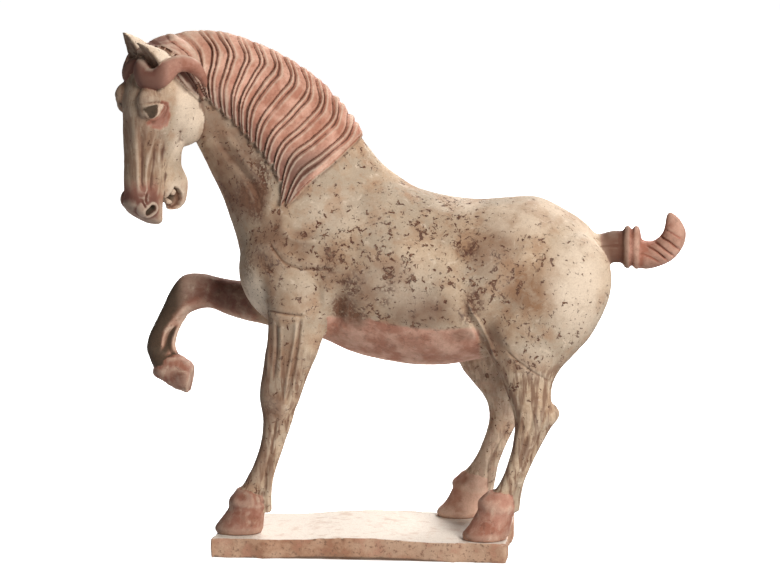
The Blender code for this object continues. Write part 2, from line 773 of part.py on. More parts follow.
def plate_corners():
    """Front and rear x, the near edge's y, and the far edge's y in front and behind."""
    front = NEAR_FORE_HOOF[-1][0] * MM - TOE_MARGIN
    rear = NEAR_HIND_HOOF[-2][2] * MM - HEEL_OVERHANG
    near = (NEAR_HIND_HOOF[-2][4] - NEAR_HIND_HOOF[-2][5]) * MM - NEAR_MARGIN
    far = (FAR_HIND_HOOF[-2][4] + FAR_HIND_HOOF[-2][5]) * MM + FAR_MARGIN
    return front, rear, near, far - PLATE_NARROWING, far


def plate_mesh():
    """The thin plate, its top a little arched, its long edges lifted and worn."""
    front, rear, near, far_front, far_rear = plate_corners()
    mesh = bmesh.new()
    bmesh.ops.create_cube(mesh, size=1.0)
    for axis, cuts in enumerate(PLATE_CUTS):
        for cut in range(1, cuts):
            place = [0.0, 0.0, 0.0]
            place[axis] = cut / cuts - 0.5
            normal = [0.0, 0.0, 0.0]
            normal[axis] = 1.0
            parts = mesh.verts[:] + mesh.edges[:] + mesh.faces[:]
            bmesh.ops.bisect_plane(mesh, geom=parts, plane_co=place, plane_no=normal)
    for vert in mesh.verts:
        along, across, up = vert.co
        wave = sum(strength * math.sin(a * along + b * across + c) for a, b, c, strength in WEAR_WAVES)
        edge = max(abs(along), abs(across)) * 2
        wear = EDGE_WEAR * wave * edge ** WEAR_SHARPNESS
        x = front + (rear - front) * (along + 0.5)
        far = far_front + (far_rear - far_front) * (along + 0.5)
        y = near + (far - near) * (across + 0.5)
        arch = max(0.0, 1 - (along / ARCH_REACH) ** 2)
        top = PLATE_THICKNESS + PLATE_ARCH * arch ** 2
        lift = max(0.0, 1 - (along / LIFT_REACH) ** 2)
        rim = max(0.0, (abs(across) - LIFT_START) / (0.5 - LIFT_START))
        bottom = PLATE_EDGE_LIFT * lift * rim ** 2
        z = bottom + (top - bottom) * (up + 0.5)
        vert.co = (x + wear * np.sign(along), y + wear * np.sign(across), z)
    result = bpy.data.meshes.new("plate")
    mesh.to_mesh(result)
    mesh.free()
    return result


def material(name, colour, roughness):
    """A plain matt pottery material."""
    result = bpy.data.materials.new(name)
    result.use_nodes = True
    shader = result.node_tree.nodes["Principled BSDF"]
    shader.inputs["Base Color"].default_value = colour
    shader.inputs["Roughness"].default_value = roughness
    shader.inputs["Metallic"].default_value = 0.0
    return result


def add_piece(name, mesh, finish, collection):
    """One piece of the work as an object."""
    mesh.name = name
    mesh.materials.clear()
    mesh.materials.append(finish)
    piece = bpy.data.objects.new(name, mesh)
    collection.objects.link(piece)
    return piece


def build():
    """Make the horse and its plate."""
    clear_scene()
    collection = bpy.data.collections.new("tang_pottery_horse")
    bpy.context.scene.collection.children.link(collection)
    add_piece("horse", figure_mesh(), material("cream_slip", SLIP_CREAM, 0.85), collection)
    add_piece("plate", plate_mesh(), material("plate_clay", PLATE_CLAY, 0.9), collection)


build()
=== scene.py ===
"""The looks of a Tang pottery horse on its thin plate.

The figure is laid up again from the same tables of cuts as the solid, on a finer skin, and
gets its carved locks, face, hooves and worn slip. Tables are in millimetres on a figure
465 mm tall: x runs from the head to the tail, y from the near side to the far side, and
z up from the soles. Each row of a form is one cut: the cut's two outline points as seen
from the side, the y of its middle and its half width.
"""

import itertools
import math

import bmesh
import bpy
import numpy as np
from mathutils import Matrix, Vector


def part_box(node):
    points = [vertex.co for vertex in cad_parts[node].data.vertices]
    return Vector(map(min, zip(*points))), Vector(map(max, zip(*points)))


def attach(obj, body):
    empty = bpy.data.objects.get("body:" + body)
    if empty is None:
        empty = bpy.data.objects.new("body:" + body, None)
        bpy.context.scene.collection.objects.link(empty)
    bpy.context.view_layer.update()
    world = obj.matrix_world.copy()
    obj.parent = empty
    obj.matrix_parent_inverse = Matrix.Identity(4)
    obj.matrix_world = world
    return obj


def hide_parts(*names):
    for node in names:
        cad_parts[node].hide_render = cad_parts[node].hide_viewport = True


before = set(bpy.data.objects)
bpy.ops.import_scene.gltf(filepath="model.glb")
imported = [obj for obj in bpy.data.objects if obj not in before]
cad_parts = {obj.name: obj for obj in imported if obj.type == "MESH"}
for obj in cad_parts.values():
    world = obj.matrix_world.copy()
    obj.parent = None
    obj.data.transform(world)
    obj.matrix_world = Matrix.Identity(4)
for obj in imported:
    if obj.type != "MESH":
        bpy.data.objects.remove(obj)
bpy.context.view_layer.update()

# Scale and place, from the frame
MM = 0.001
SOLE_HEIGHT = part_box("horse")[0].z

# Settings of the skins: the figure's in table millimetres, the plate's in metres; what lies
# below the sole band is flat
SOLE_BAND = 1.2
RING_POINTS = 40
RINGS_PER_SPAN = 5
BODY_VOXEL = 1.25
SKIN_VOXEL = 1.0
FIGURE_TRIANGLES = 190000
PLATE_VOXEL = 0.0014
PLATE_TRIANGLES = 60000

# The trunk's softening: where it starts above the soles, ahead and behind
SOFT_ABOVE = 172.0
SOFT_FROM = -112.0
SOFT_TO = 225.0
SOFT_EDGE = 5.0
SOFT_PASSES = 96
FACE_PASSES = 24

# Mane: how far it stands off the neck, its edge with a notch at each groove, and its locks
MANE_STEP = 4.5
MANE_EDGE_WIDTH = (-1.0, 1.5)
LOCK_NOTCH = 3.0
NOTCH_REACH = 3.4
LOCK_WIDTH = 14.0
GROOVE_DEPTH = 2.0
GROOVE_HALF_WIDTH = 0.9
SLOPE_DEPTH = 1.3
ARRIS_HEIGHT = 0.9
DRAWN_ON = 30

# Where the relief lies across a lock: the middle, reach and strength of its arris, its second
# arris and its flute, and the start and end of its slope, as shares of its width
LOCK_RELIEF = [(0.15, 0.08, 1.0), (0.48, 0.07, 0.6), (0.30, 0.09, -1.6)]
LOCK_SLOPE = (0.50, 0.85)

# The locks' unevenness, and how much flatter they are where the crest faces up
LOCK_WANDER = (0.05, 20, 6)
LOCK_LUMPS = (0.4, 16, 5)
CREST_FLATTER = 0.75

# Unevenness of hand-worked clay: after how many lumps it repeats; then depth, size of the lumps
# and seed, on the figure, on its coronets and on the plate; then the plate's crumbled edges and
# how far its faces are set back
LUMP_CELLS = 24
CLAY_LUMPS = [(0.30, 15, 1), (0.12, 5, 2)]
CORONET_LUMPS = (0.9, 6, 3)
CORONET_EDGE = (22, 28)
PLATE_LUMPS = [(0.35, 12, 11), (0.2, 4, 12)]
PLATE_CHIPS = (1.3, 7, 13)
CHIPPED = (0.35, 0.8)
FLAT_FACE = 0.96
PLATE_INSET = 0.2
TOP_INSET = 0.05

# Cross-sections: 2 is round and more is squarer; the neck's widest place sits low
HEAD_POWER = 2.4
LEG_POWER = 2.2
TENDON_POWER = 2.8
NECK_EGG = -0.18

# Head pose: where its face line meets the eye line, its turn to the near side, its roll
# with the far side up, and the tuck of its chin
HEAD_PLACE = (-213.5, -54.0, 391.5)
HEAD_TURN = 43.5
HEAD_ROLL = 4.0
HEAD_TUCK = 3.0

# View: the photograph's camera, in metres
CAMERA_PLACE = (0.31004, -2.98619, 0.6425)
CAMERA_AIM = (0.0225, 0.0, 0.2395)
CAMERA_LENS = 150.22
CAMERA_RANGE = 200
SKY_LIGHT = 0.04
TABLE_LIGHT = 0.46
FLOOR_RADIUS = 30
FLOOR_GLOW = 0.97
GLOW_EDGE = (0.006, 0.001)

# Lamps, all aimed at one point: name, place, size, power and colour
LIGHTS = [
    ("key light", (2.6, -3.3, 2.4), 1.5, 236, (1, 0.97, 0.93)),
    ("back light", (0.7, 2.2, 1.9), 1.8, 110, (1, 1, 1)),
]
LIGHT_AIM = (0, 0, 0.24)

TORSO = [
    (-118, 238, -118, 250, 0, 8),
    (-114, 222, -115, 267, 0, 26),
    (-104, 205, -107, 284, 0, 40),
    (-88, 192, -92, 302, 0, 50),
    (-65, 182, -68, 316, 0, 56),
    (-40, 177, -40, 325, 0, 59),
    (-12, 165, -8, 331, 0, 62),
    (18, 158, 20, 331, 0, 66),
    (48, 154, 48, 319, 0, 69),
    (78, 155, 76, 312, 0, 70),
    (105, 160, 104, 309, 0, 70),
    (130, 166, 132, 311, 0, 70),
    (155, 170, 158, 312, 0, 67),
    (180, 178, 183, 301, 0, 62),
    (200, 192, 203, 288, 0, 55),
    (215, 210, 216, 272, 0, 42),
    (224, 226, 224, 257, 0, 24),
    (228, 236, 228, 246, 0, 8),
]

NECK = [
    (-180, 402, -190, 445, -4, 16),
    (-168, 382, -172, 457, -3, 19),
    (-158, 360, -142, 459, -2, 22),
    (-146, 335, -108, 451, -1, 25),
    (-135, 312, -78, 438, 0, 29),
    (-127, 290, -47, 417, 0, 35),
    (-120, 268, -23, 393, 0, 41),
    (-116, 248, -2, 363, 0, 47),
    (-112, 230, 16, 341, 0, 52),
    (-96, 205, 42, 322, 0, 52),
]

NEAR_FORE_LEG = [
    (-104, 268, -30, 285, -30, 22),
    (-96, 240, -20, 252, -35, 24),
    (-88, 212, -27, 218, -38, 22),
    (-87, 190, -33, 192, -39, 18),
    (-89, 170, -40, 170, -40, 15.5),
    (-92, 150, -49, 150, -40, 14),
    (-94.5, 135, -55, 133, -40, 13.5),
    (-94.5, 124, -59, 122, -40, 13.5),
    (-92, 110, -65, 111, -40, 12),
    (-92, 98, -70, 99, -40, 10.5),
    (-95, 80, -77, 80, -40, 9.5),
    (-102, 60, -85, 61, -40, 9),
    (-110, 46, -89, 46, -40, 9.5),
    (-117, 36, -93, 33, -40, 11.5),
]

NEAR_FORE_TENDON = [
    (-72, 120, -61, 118, -40, 5),
    (-74, 105, -65, 103, -40, 6),
    (-78, 89, -70, 89, -40, 6),
    (-84, 71, -76, 71, -40, 6),
    (-89, 54, -81.5, 54, -40, 6),
    (-91, 37, -84, 37, -40, 6),
    (-91, 19, -84, 19, -40, 6),
]

NEAR_FORE_HOOF = [
    (-116, 42, -95, 40, -40, 11),
    (-120, 36, -91, 34, -40, 15),
    (-124.5, 30, -90, 27, -40, 18),
    (-124, 23, -91, 21, -40, 17.5),
    (-131, 13, -91.5, 12, -40, 18.5),
    (-137.5, 4, -92, 4, -40, 20),
    (-135, 0, -94, 0, -40, 18.5),
]

NEAR_HIND_LEG = [
    (140, 284, 190, 288, -18, 18),
    (124, 264, 212, 276, -29, 29),
    (114, 240, 227, 256, -36, 32),
    (109, 212, 228, 226, -40, 31),
    (111, 192, 214, 193, -42, 28),
    (116, 175, 198, 174, -44, 24),
    (125, 157, 184, 159, -46, 19.5),
    (132, 142, 177, 146, -47, 16.5),
    (137, 128, 175, 133, -48, 15),
    (141, 116, 177, 121, -49, 14),
    (142, 106, 178, 112, -49, 13),
    (141, 94, 168, 98, -49, 11.5),
    (138, 78, 158, 80, -49, 10),
    (132, 60, 149, 61, -48, 9),
    (125, 47, 144, 47, -48, 9.5),
    (114, 37, 142, 34, -47, 12),
]

NEAR_HIND_TENDON = [
    (168, 122, 179, 126, -49, 5),
    (170, 112, 183, 116, -49, 6.5),
    (164, 100, 174, 102, -49, 6),
    (158, 86, 166, 87, -49, 6),
    (150, 69, 158, 70, -49, 6),
    (143, 53, 151, 54, -48, 6),
    (140, 40, 148, 40, -48, 6),
    (139, 26, 146.5, 26, -48, 6),
]

NEAR_HIND_HOOF = [
    (118, 45, 143, 43, -48, 11),
    (112, 39, 143, 35, -48, 15),
    (108, 33, 143.5, 28, -48, 18),
    (108, 27, 141, 21, -48, 17.5),
    (101, 13, 139, 10, -48, 19),
    (94, 4, 137, 4, -48, 21),
    (96, 0, 134, 0, -48, 19.5),
]

FAR_HIND_LEG = [
    (138, 284, 188, 288, 18, 18),
    (116, 264, 210, 276, 29, 29),
    (102, 240, 225, 256, 36, 32),
    (88, 205, 220, 226, 41, 31),
    (81, 178, 200, 190, 45, 27),
    (80, 160, 176, 168, 48, 22),
    (86, 143, 158, 152, 50, 18),
    (96, 130, 150, 140, 51, 16),
    (104, 120, 147, 128, 52, 15),
    (110, 110, 148, 115, 53, 14),
    (112, 98, 146, 104, 54, 12.5),
    (110, 84, 133, 87, 55, 11),
    (104, 67, 121, 69, 55, 9.5),
    (96, 52, 114, 52, 56, 9.5),
    (86, 40, 112, 38, 56, 11.5),
]

FAR_HIND_TENDON = [
    (138, 118, 149, 121, 53, 5),
    (140, 108, 152, 111, 54, 6.5),
    (131, 92, 140, 93, 54, 6),
    (121, 70, 129, 71, 55, 6),
    (114, 52, 121.5, 52, 56, 6),
    (111, 38, 118.5, 38, 56, 6),
    (108, 22, 115.5, 22, 56, 6),
]

FAR_HIND_HOOF = [
    (88, 43, 112, 40, 56, 11),
    (82, 38, 112, 32, 57, 15),
    (77, 32, 112.5, 25, 57, 18),
    (77, 26, 110, 19, 57, 17.5),
    (70, 13, 107, 9, 57, 19),
    (62, 4, 105, 4, 57, 21),
    (64, 0, 102, 0, 57, 19.5),
]

RAISED_LEG = [
    (-62, 240, -62, 182, 30, 20),
    (-92, 232, -88, 182, 34, 19),
    (-118, 225, -112, 186, 38, 16.5),
    (-140, 227, -134, 192, 40, 14.5),
    (-160, 231, -151, 198, 41, 13.5),
    (-179, 229, -163, 197, 41, 13.5),
    (-191, 214, -172, 193, 41, 12.5),
    (-198, 199, -180, 186, 41, 10.5),
    (-206, 183, -190, 174, 41, 9.5),
    (-212, 170, -192, 163, 41, 9.5),
    (-214, 159, -189, 155, 41, 11),
    (-211, 149, -187, 149, 41, 11),
    (-208, 142, -178, 149, 41, 13),
]

RAISED_TENDON = [
    (-182, 193, -175, 189, 41, 4),
    (-185, 186, -179.5, 183, 41, 5.5),
    (-191, 176, -184.5, 172, 41, 6),
    (-194, 163, -186.5, 161, 41, 6),
    (-191, 155, -184, 154, 41, 5.5),
]

RAISED_HOOF = [
    (-205, 148, -183, 153, 41, 10),
    (-207.5, 140, -178, 150, 41, 14),
    (-207.5, 133, -173, 147, 41, 16.5),
    (-199, 128, -170.5, 144, 41, 17.5),
    (-187, 121, -169, 142, 41, 18.5),
    (-174, 116, -169.5, 141, 41, 19),
]

TAIL_ROOT = [
    (196, 268, 198, 252, 0, 12),
    (214, 277, 216, 250, 0, 14),
    (230, 281, 231, 251, 0, 13.5),
    (246, 280, 246, 252, 0, 13),
]

TAIL_PLUME = [
    (246, 276, 246, 250, 0, 11),
    (256, 273, 256, 246, 0, 13),
    (264, 272, 268, 247, 0, 13),
    (270, 275, 283, 254, 0, 13),
    (275, 281, 293, 266, 0, 12),
    (277, 289, 296, 279, 0, 9.5),
    (278, 296, 291, 291, 0, 6),
    (281, 299, 285, 297, 0, 2.5),
]

TAIL_KNOT = [
    (237.5, 279, 237.5, 252, 0, 12),
    (240, 285, 240, 247, 0, 16),
    (244, 286, 244, 246, 0, 16.5),
    (246.5, 280, 246.5, 251, 0, 13.5),
    (249, 286, 249, 246, 0, 16.5),
    (253, 284, 253, 246, 0, 16),
    (255, 277, 255, 250, 0, 12),
]

# Head tables: forward, height; forward, height; side; half width, from HEAD_PLACE
SKULL = [
    (-31, 56, -51, 63, 0, 9),
    (-20, 53, -64, 52, 0, 19),
    (-11, 38, -72, 36, 0, 23),
    (-4, 22, -73, 20, 0, 25),
    (0, 5, -70, 4, 0, 25),
    (0, -12, -66, -12, 0, 23),
    (0, -28, -58, -28, 0, 19),
    (0, -45, -46, -45, 0, 16.5),
    (0.5, -62, -38, -62, 0, 15.5),
    (1.5, -78, -35, -78, 0, 16.5),
    (2, -87, -33, -90, 0, 17.5),
    (-3, -95, -33, -99, 0, 16),
    (-11, -101, -33, -105, 0, 12.5),
    (-20, -106, -31, -108, 0, 6),
]

JAW = [
    (-32, -10, -71, -8, 0, 18),
    (-30, -24, -66, -24, 0, 17),
    (-27, -38, -57, -37, 0, 16),
    (-26, -52, -55, -52, 0, 15),
    (-28, -62, -58, -60, 0, 14.5),
    (-29, -72, -62, -69, 0, 14.5),
    (-33, -82, -62, -80, 0, 13),
    (-41, -90, -60, -89, 0, 10.5),
    (-43, -96, -56, -95, 0, 6),
]

# Blobs in the head frame: middle (forward, side, height) and radii; side ones are mirrored
CHEEK = ((-46, 0, 2), (33, 28, 32))
JOWL = ((-59, 0, -11.5), (22.5, 27, 27))
BROW = ((-11, 18.5, 11.5), (10.5, 9.5, 12.5))
EYE = ((-12, 18, 2), (10, 7.5, 7))
NOSTRIL = ((-9, 11, -88), (8, 7, 9))
FAR_NOSTRIL = ((-7, 11, -83.5), (8, 7, 9))

TOOTH = ((-39.5, 7, -86.5), (3.5, 3.0, 3.3))

# Ear: tip first, each row its front edge, its back edge, side and half width; its front is
# hollowed by a share of its depth, and the near ear sits lower and further forward
EAR = [
    (-5, 70.5, -10, 70.5, 15, 2),
    (-7, 65, -22, 65.5, 16.5, 6),
    (-9.5, 57, -34, 58.5, 18, 9),
    (-13, 47.5, -41, 51, 19, 11),
    (-15, 38, -48, 42, 17, 12),
]
EAR_HOLLOW = 0.6
HOLLOW_HALF_ANGLE = 0.8
NEAR_EAR_DROP = 5.5
NEAR_EAR_FORWARD = 5.0

# Forelock: one horn-shaped lock for each side; forward, height, side, half height, half width;
# the far one lies further back
FORELOCK = [
    (-22, 44, 1, 8, 7),
    (-13, 39, 6, 10, 8),
    (-10.5, 32, 15, 10, 7.5),
    (-16, 32, 25, 9.7, 7),
    (-21, 36.4, 29.5, 9.6, 6.8),
    (-27, 42.8, 33, 8.4, 6.5),
    (-33.5, 45.6, 36, 7.8, 6.3),
    (-41, 44.8, 38, 7.2, 6),
    (-46.6, 41.8, 40, 6.3, 5.8),
    (-51.6, 36.8, 41.5, 5.2, 5),
    (-55.7, 30.5, 42, 3.8, 3.8),
    (-57.8, 25, 42, 2.2, 2.4),
    (-58.4, 21.8, 42, 1.1, 1.2),
]
FAR_LOCK_BACK = 4.0

# The mane's lower edge, and the line of every second lock from the crest to that edge
MANE_EDGE = [
    (-215, 458), (-192, 450), (-174, 430), (-160, 412), (-148, 401), (-138, 395), (-122, 382), (-103, 363),
    (-89, 349), (-77, 332), (-75, 322), (-74, 303), (-65, 308), (-54, 316), (-38, 331), (-20, 350),
    (-4, 366), (12, 392),
]
ABOVE_CREST = [(60, 520), (-260, 520)]
POLL_LINE_HEIGHT = [0, 7, 14, 21.5, 28.6, 45, 62]
POLL_LINE_FORWARD = [-90, -64, -55, -46, -39, -24, -10]
LOCK_LINES = [
    [(-204, 452), (-184, 447), (-170, 441), (-158, 427), (-146, 404)],
    [(-160, 468), (-142, 451), (-140, 436), (-143, 418), (-140, 394)],
    [(-124, 466), (-110, 443), (-114, 427), (-121, 404), (-119, 371)],
    [(-94, 455), (-82, 434), (-92, 418), (-106, 391), (-105, 352)],
    [(-62, 435), (-52, 413), (-66, 392), (-87, 367), (-92, 330)],
    [(-29, 406), (-28, 386), (-45, 368), (-67, 349), (-76, 308)],
    [(0, 378), (-5, 359), (-25, 342), (-50, 323), (-68, 296)],
]

# How much a difference in depth counts beside a carved line
DEPTH_WEIGHT = 0.35

# Carved lines on the body: path, reach to each side and height, a groove where it is negative
BODY_LINES = [
    ([(-83, -50, 271), (-79, -52, 265), (-70, -56, 255), (-57, -57, 250), (-44, -57, 249), (-27, -58, 249)],
     2.0, -1.1),
    ([(-76, -54, 269), (-66, -57, 261), (-55, -58, 256), (-42, -58, 254.5), (-28, -58, 254)], 6, 1.0),
    ([(-71, -49, 283), (-67, -51, 278.5), (-59, -53, 275), (-47, -53, 274), (-33, -55, 275)], 4.5, 1.3),
    ([(-70, -50, 291), (-64, -52, 285.5), (-55, -54, 282), (-42, -55, 281)], 5.5, -1.1),
    ([(-91, -48, 254), (-86, -51, 249), (-79, -54, 244)], 4, -1.0),
    ([(-86, -46, 209), (-80, -50, 208.5), (-68, -57, 207), (-50, -57, 205.5)], 2.2, -1.7),
    ([(-58, -58, 201), (-60, -57, 183), (-63, -56, 168), (-67, -55, 147), (-70, -53, 126)], 2.2, 1.6),
    ([(-54, -57, 204), (-56, -56, 188), (-59, -54, 168), (-63, -52, 147), (-68, -52, 124)], 2.6, -2.3),
    ([(-77, -53, 199), (-77.5, -53, 173), (-80, -52, 146)], 2.8, -1.5),
    ([(-72.5, -54, 199), (-72.8, -54, 169), (-75, -53, 145)], 2.6, 0.8),
    ([(-84, -48, 198), (-85, -48, 172), (-86, -48, 148)], 2.6, 0.8),
    ([(-18, -58, 233), (-19, -56, 218), (-22, -51, 205), (-28, -44, 192)], 10, -4.5),
    ([(-6, -58, 226), (-7, -56, 212), (-12, -50, 200)], 12, -2.5),
    ([(-31, -58, 240), (-32, -57, 222), (-35, -55, 204)], 6, 1.5),
    ([(-77, -51, 112), (-82, -49, 84), (-88, -47, 55), (-89, -46, 38)], 2.2, -1.3),
    ([(-97, -46, 92), (-101, -46, 66), (-108, -46, 48)], 3.0, 0.8),
    ([(100, -65, 223), (104, -64, 213), (110, -61, 203), (118, -56, 185), (126, -57, 166)], 2.2, 1.2),
    ([(96, -65, 220), (100, -63, 209), (106, -58, 197), (113, -53, 180)], 4.5, -2.0),
    ([(112, -62, 206), (121, -62, 190), (129, -62, 178), (138, -62, 160)], 11, -2.4),
    ([(134, -65, 178), (143, -66, 170), (155, -66, 161), (178, -52, 146)], 1.8, -0.9),
    ([(160, -62, 124), (158, -60, 108), (153, -59, 92), (147, -57, 70)], 3, -1.2),
    ([(172, -58, 122), (167, -57, 104), (160, -56, 84), (152, -55, 60)], 2.4, -1.4),
    ([(150, -60, 126), (147, -59, 104), (143, -58, 84)], 3, 0.9),
    ([(-139, -25, 372), (-128, -27, 354), (-113, -31, 337), (-99, -37, 319), (-92, -42, 298)], 5.5, -1.2),
    ([(-130, -22, 375), (-118, -26, 358), (-104, -32, 340), (-88, -38, 320)], 6, 1.3),
    ([(-40, 58, 274), (-60, 54, 270), (-80, 44, 262)], 5, -1.4),
    ([(94, 66, 212), (102, 64, 194), (112, 58, 177)], 6, -2.2),
    ([(-204, 42, 188), (-200, 51, 180), (-205, 51, 166)], 4, -1.0),
    ([(-188, 33, 182), (-193, 33, 170), (-197, 31, 156)], 4, -1.6),
]

# The cleft of the rump, carved in the middle plane
RUMP_CLEFT = [([(229, 0, 244), (222, 0, 218), (206, 0, 196), (188, 0, 184)], 10, -4.5)]

# Carved lines on both sides of the tail
TAIL_LINES = [
    ([(259, -8, 270), (264, -11, 267), (270, -12.5, 263), (279, -9, 255)], 1.6, -2.0),
    ([(266, -7, 273), (271, -11, 270), (276, -12.5, 266), (286, -7, 258)], 1.6, -2.0),
    ([(271, -5, 278), (276, -10, 275), (281.5, -12, 272), (291, -6.5, 264)], 1.6, -2.0),
    ([(274, -6, 284), (282, -10, 281), (292, -7, 275)], 1.4, -0.9),
    ([(254, -11, 262), (264, -12, 258), (272, -10, 253)], 1.4, -0.8),
    ([(214, -10, 268), (226, -12, 268), (238, -12, 269)], 2.0, -0.8),
]

# Carved lines on the head, in its own frame, made on both sides
HEAD_LINES = [
    ([(-2, 9, -10), (-3, 9, -30), (-3.5, 9, -45), (-4, 10, -60), (-5, 12, -78)], 3.6, 1.1),
    ([(-6, 14, -15), (-7, 13, -41), (-7, 13, -58), (-6, 12, -75)], 4, -1.7),
    ([(-18, 19, -16), (-13.7, 16, -35), (-10, 15, -51), (-8, 13, -72)], 4, 1.6),
    ([(-19, 17, -31), (-17, 15, -55), (-13.5, 15, -78)], 4, -1.6),
    ([(-22, 18, -34), (-24, 16, -55), (-20.5, 17, -82)], 4, 1.2),
    ([(-27, 19, -24), (-28, 17, -36), (-26, 16, -50)], 5.5, -1.8),
    ([(-10.8, 14, -73), (-9.4, 15, -78), (-8.4, 16, -84)], 1.7, -1.9),
    ([(-4.6, 14, -80.5), (-6.2, 16, -85), (-8, 17, -89.5)], 1.6, -1.7),
    ([(0, 19, 14), (-5, 24, 14), (-13, 26, 14.5), (-22, 25, 13), (-29, 24, 8)], 3.5, 0.6),
    ([(-1, 20, 9.5), (-7, 24, 10.6), (-16, 26, 10.5), (-25, 25, 8)], 1.3, -1.2),
    ([(-3, 22, 7.5), (-8, 24, 8.6), (-16, 25, 8.4), (-24, 25, 5.5)], 1.1, 0.6),
    ([(-3, 22, 5), (-7, 23, -2), (-13, 23, -6), (-19, 23, -4.5), (-25, 24, 3)], 1.3, 0.6),
    ([(-26, 25, 9), (-28, 25, 3), (-23, 23, -8)], 1.6, -1.0),
]

# Mouth opening at each side of the head, forward and height, and its depth
MOUTH = [
    (-42, -72), (-47, -75), (-51, -80), (-52.5, -86), (-51.6, -92), (-47, -95.5), (-40, -95.5), (-35, -93),
    (-33.5, -89), (-36, -84), (-39, -78),
]
MOUTH_DEPTH = 6.5

# Upper tooth in the opening: forward, height and reach along each
UPPER_TOOTH = (-43.5, -78.5, 2.8, 3.4)

# Nostril slit on the near side, the forward and height of its ends, and the far one's place
# from it
NOSTRIL_SLIT = [(-10.9, -92.2), (-15, -89.4)]
NOSTRIL_REACH = 3.4
NOSTRIL_DEPTH = 5.5
NOSTRIL_RIM = 0.9
FAR_NOSTRIL_STEP = (2.0, 0.0, 4.5)

# Iris and pupil as forward, height and reach along each, and the outlines of the eye and of
# the red paint by it, forward and height
IRIS = (-9.5, 2.5, 9.0, 9.0)
PUPIL = (-11.5, 2.2, 3.6, 3.6)
EYE_OPENING = [
    (-1.5, 5.5), (-6, 8.5), (-13, 9.4), (-19, 9), (-24.5, 7.8), (-22, 1.5), (-18, -3), (-13.5, -5.5),
    (-9, -4), (-4.5, 1),
]
RED_BY_EYE = [
    (-21, 12), (-29, 9), (-31, -3), (-29.5, -13), (-22, -16), (-14, -14), (-8, -9.5), (-12, -5.5),
    (-20, -2),
]

# Where the mane of the head meets the mane of the neck on the near side, in the head frame,
# and how far the seam between them is smoothed
MANE_SEAM = (-69, 20, 18)
SEAM_REACH = (7, 12)

# The edge of the red belly as seen from the side
BELLY_EDGE_X = [-45, -30, -15, 9, 37, 65, 92, 110]
BELLY_EDGE_Z = [204, 204, 204, 203, 197, 195, 196, 198]

# Stains of the near side: x, z, reach along x, reach along z, strength; the far side has
# them fainter by a share. The grime ones are partly painted shade, on the lower flank, the thigh
# fold, the neck front and the shoulder front
FAR_STAINS = 0.7
STAINS = {
    "rust": [
        (164, 227, 30, 28, 1.0), (130, 272, 34, 34, 0.6), (147, 240, 26, 30, 0.9), (98, 267, 14, 14, 0.8),
        (132, 200, 24, 30, 0.5), (-66, 262, 26, 20, 0.55), (-60, 216, 26, 22, 0.5),
        (-8, 262, 30, 24, 0.3), (96, 290, 40, 20, 0.35), (-60, 150, 10, 50, 0.45),
    ],
    "grime": [
        (56, 213, 46, 26, 1.0), (2, 232, 34, 28, 0.65), (-30, 252, 16, 34, 0.45),
        (-84, 268, 34, 40, 0.75), (-58, 264, 30, 26, 0.5), (-84, 234, 22, 26, 0.45),
        (-122, 330, 44, 70, 0.95), (-138, 375, 26, 30, 0.6), (-88, 172, 18, 50, 0.95),
        (-86, 118, 24, 26, 0.85), (-96, 74, 18, 40, 0.75), (124, 160, 16, 50, 0.65),
        (124, 182, 14, 34, 0.8), (-103, 310, 24, 30, 1.0), (-112, 250, 12, 40, 0.5),
        (-86, 208, 16, 30, 0.5), (-66, 172, 12, 34, 0.45), (150, 234, 22, 26, 0.35),
        (22, 238, 34, 28, 0.6), (127, 276, 18, 24, 0.6), (140, 110, 14, 46, 0.45),
        (106, 222, 14, 24, 0.6), (112, 262, 18, 26, 0.5),
    ],
    "dark": [
        (-15, 212, 15, 17, 1.2), (-4, 203, 14, 9, 1.2), (27, 233, 12, 5, 1.0), (24, 220, 6, 5, 0.9),
        (-8, 239, 16, 8, 0.9), (-6, 229, 12, 6, 0.9), (-24, 250, 7, 8, 0.7), (106, 222, 11, 17, 0.9),
        (98, 206, 8, 10, 0.7), (104, 270, 7, 12, 0.8), (97, 268, 10, 8, 0.6), (-93, 330, 12, 28, 1.0),
        (-98, 303, 11, 18, 0.9), (-112, 318, 10, 16, 0.6), (-104, 250, 8, 22, 0.6),
        (-92, 262, 7, 14, 0.5), (-84, 122, 9, 14, 0.6), (-84, 250, 6, 12, 0.7),
    ],
    "bare": [
        (-15, 213, 14, 17, 1.0), (-5, 203, 16, 10, 1.0), (94, 190, 16, 8, 0.7), (-94, 316, 9, 26, 0.5),
        (-76, 290, 6, 16, 0.5), (-100, 312, 18, 26, 0.6),
    ],
    "wear": [
        (-20, 262, 66, 42, 0.75), (60, 262, 90, 60, 0.8), (112, 240, 44, 60, 0.9),
        (-80, 262, 40, 50, 0.7), (140, 190, 50, 50, 0.6), (40, 190, 70, 26, 0.8), (0, 205, 40, 24, 0.9),
        (-110, 320, 40, 60, 0.7), (148, 250, 30, 46, 0.7),
    ],
    "pale": [
        (198, 240, 34, 64, 1.0), (150, 296, 60, 20, 0.6), (-100, 222, 18, 26, 1.3),
        (88, 308, 30, 12, 0.9), (-20, 300, 40, 26, 0.45), (40, 240, 40, 34, 0.35),
        (160, 172, 24, 20, 0.5), (-50, 228, 12, 20, 0.4),
    ],
}


def deselect_all():
    """Leave nothing selected, so that an operator acts on its own piece alone."""
    bpy.ops.object.select_all(action="DESELECT")


def make_active(piece):
    """Select one piece alone."""
    deselect_all()
    piece.select_set(True)
    bpy.context.view_layer.objects.active = piece


def apply_modifier(piece, kind, **settings):
    """Add a modifier with its settings and apply it."""
    make_active(piece)
    modifier = piece.modifiers.new(kind.title(), kind)
    for key, value in settings.items():
        setattr(modifier, key, value)
    bpy.ops.object.modifier_apply(modifier=modifier.name)


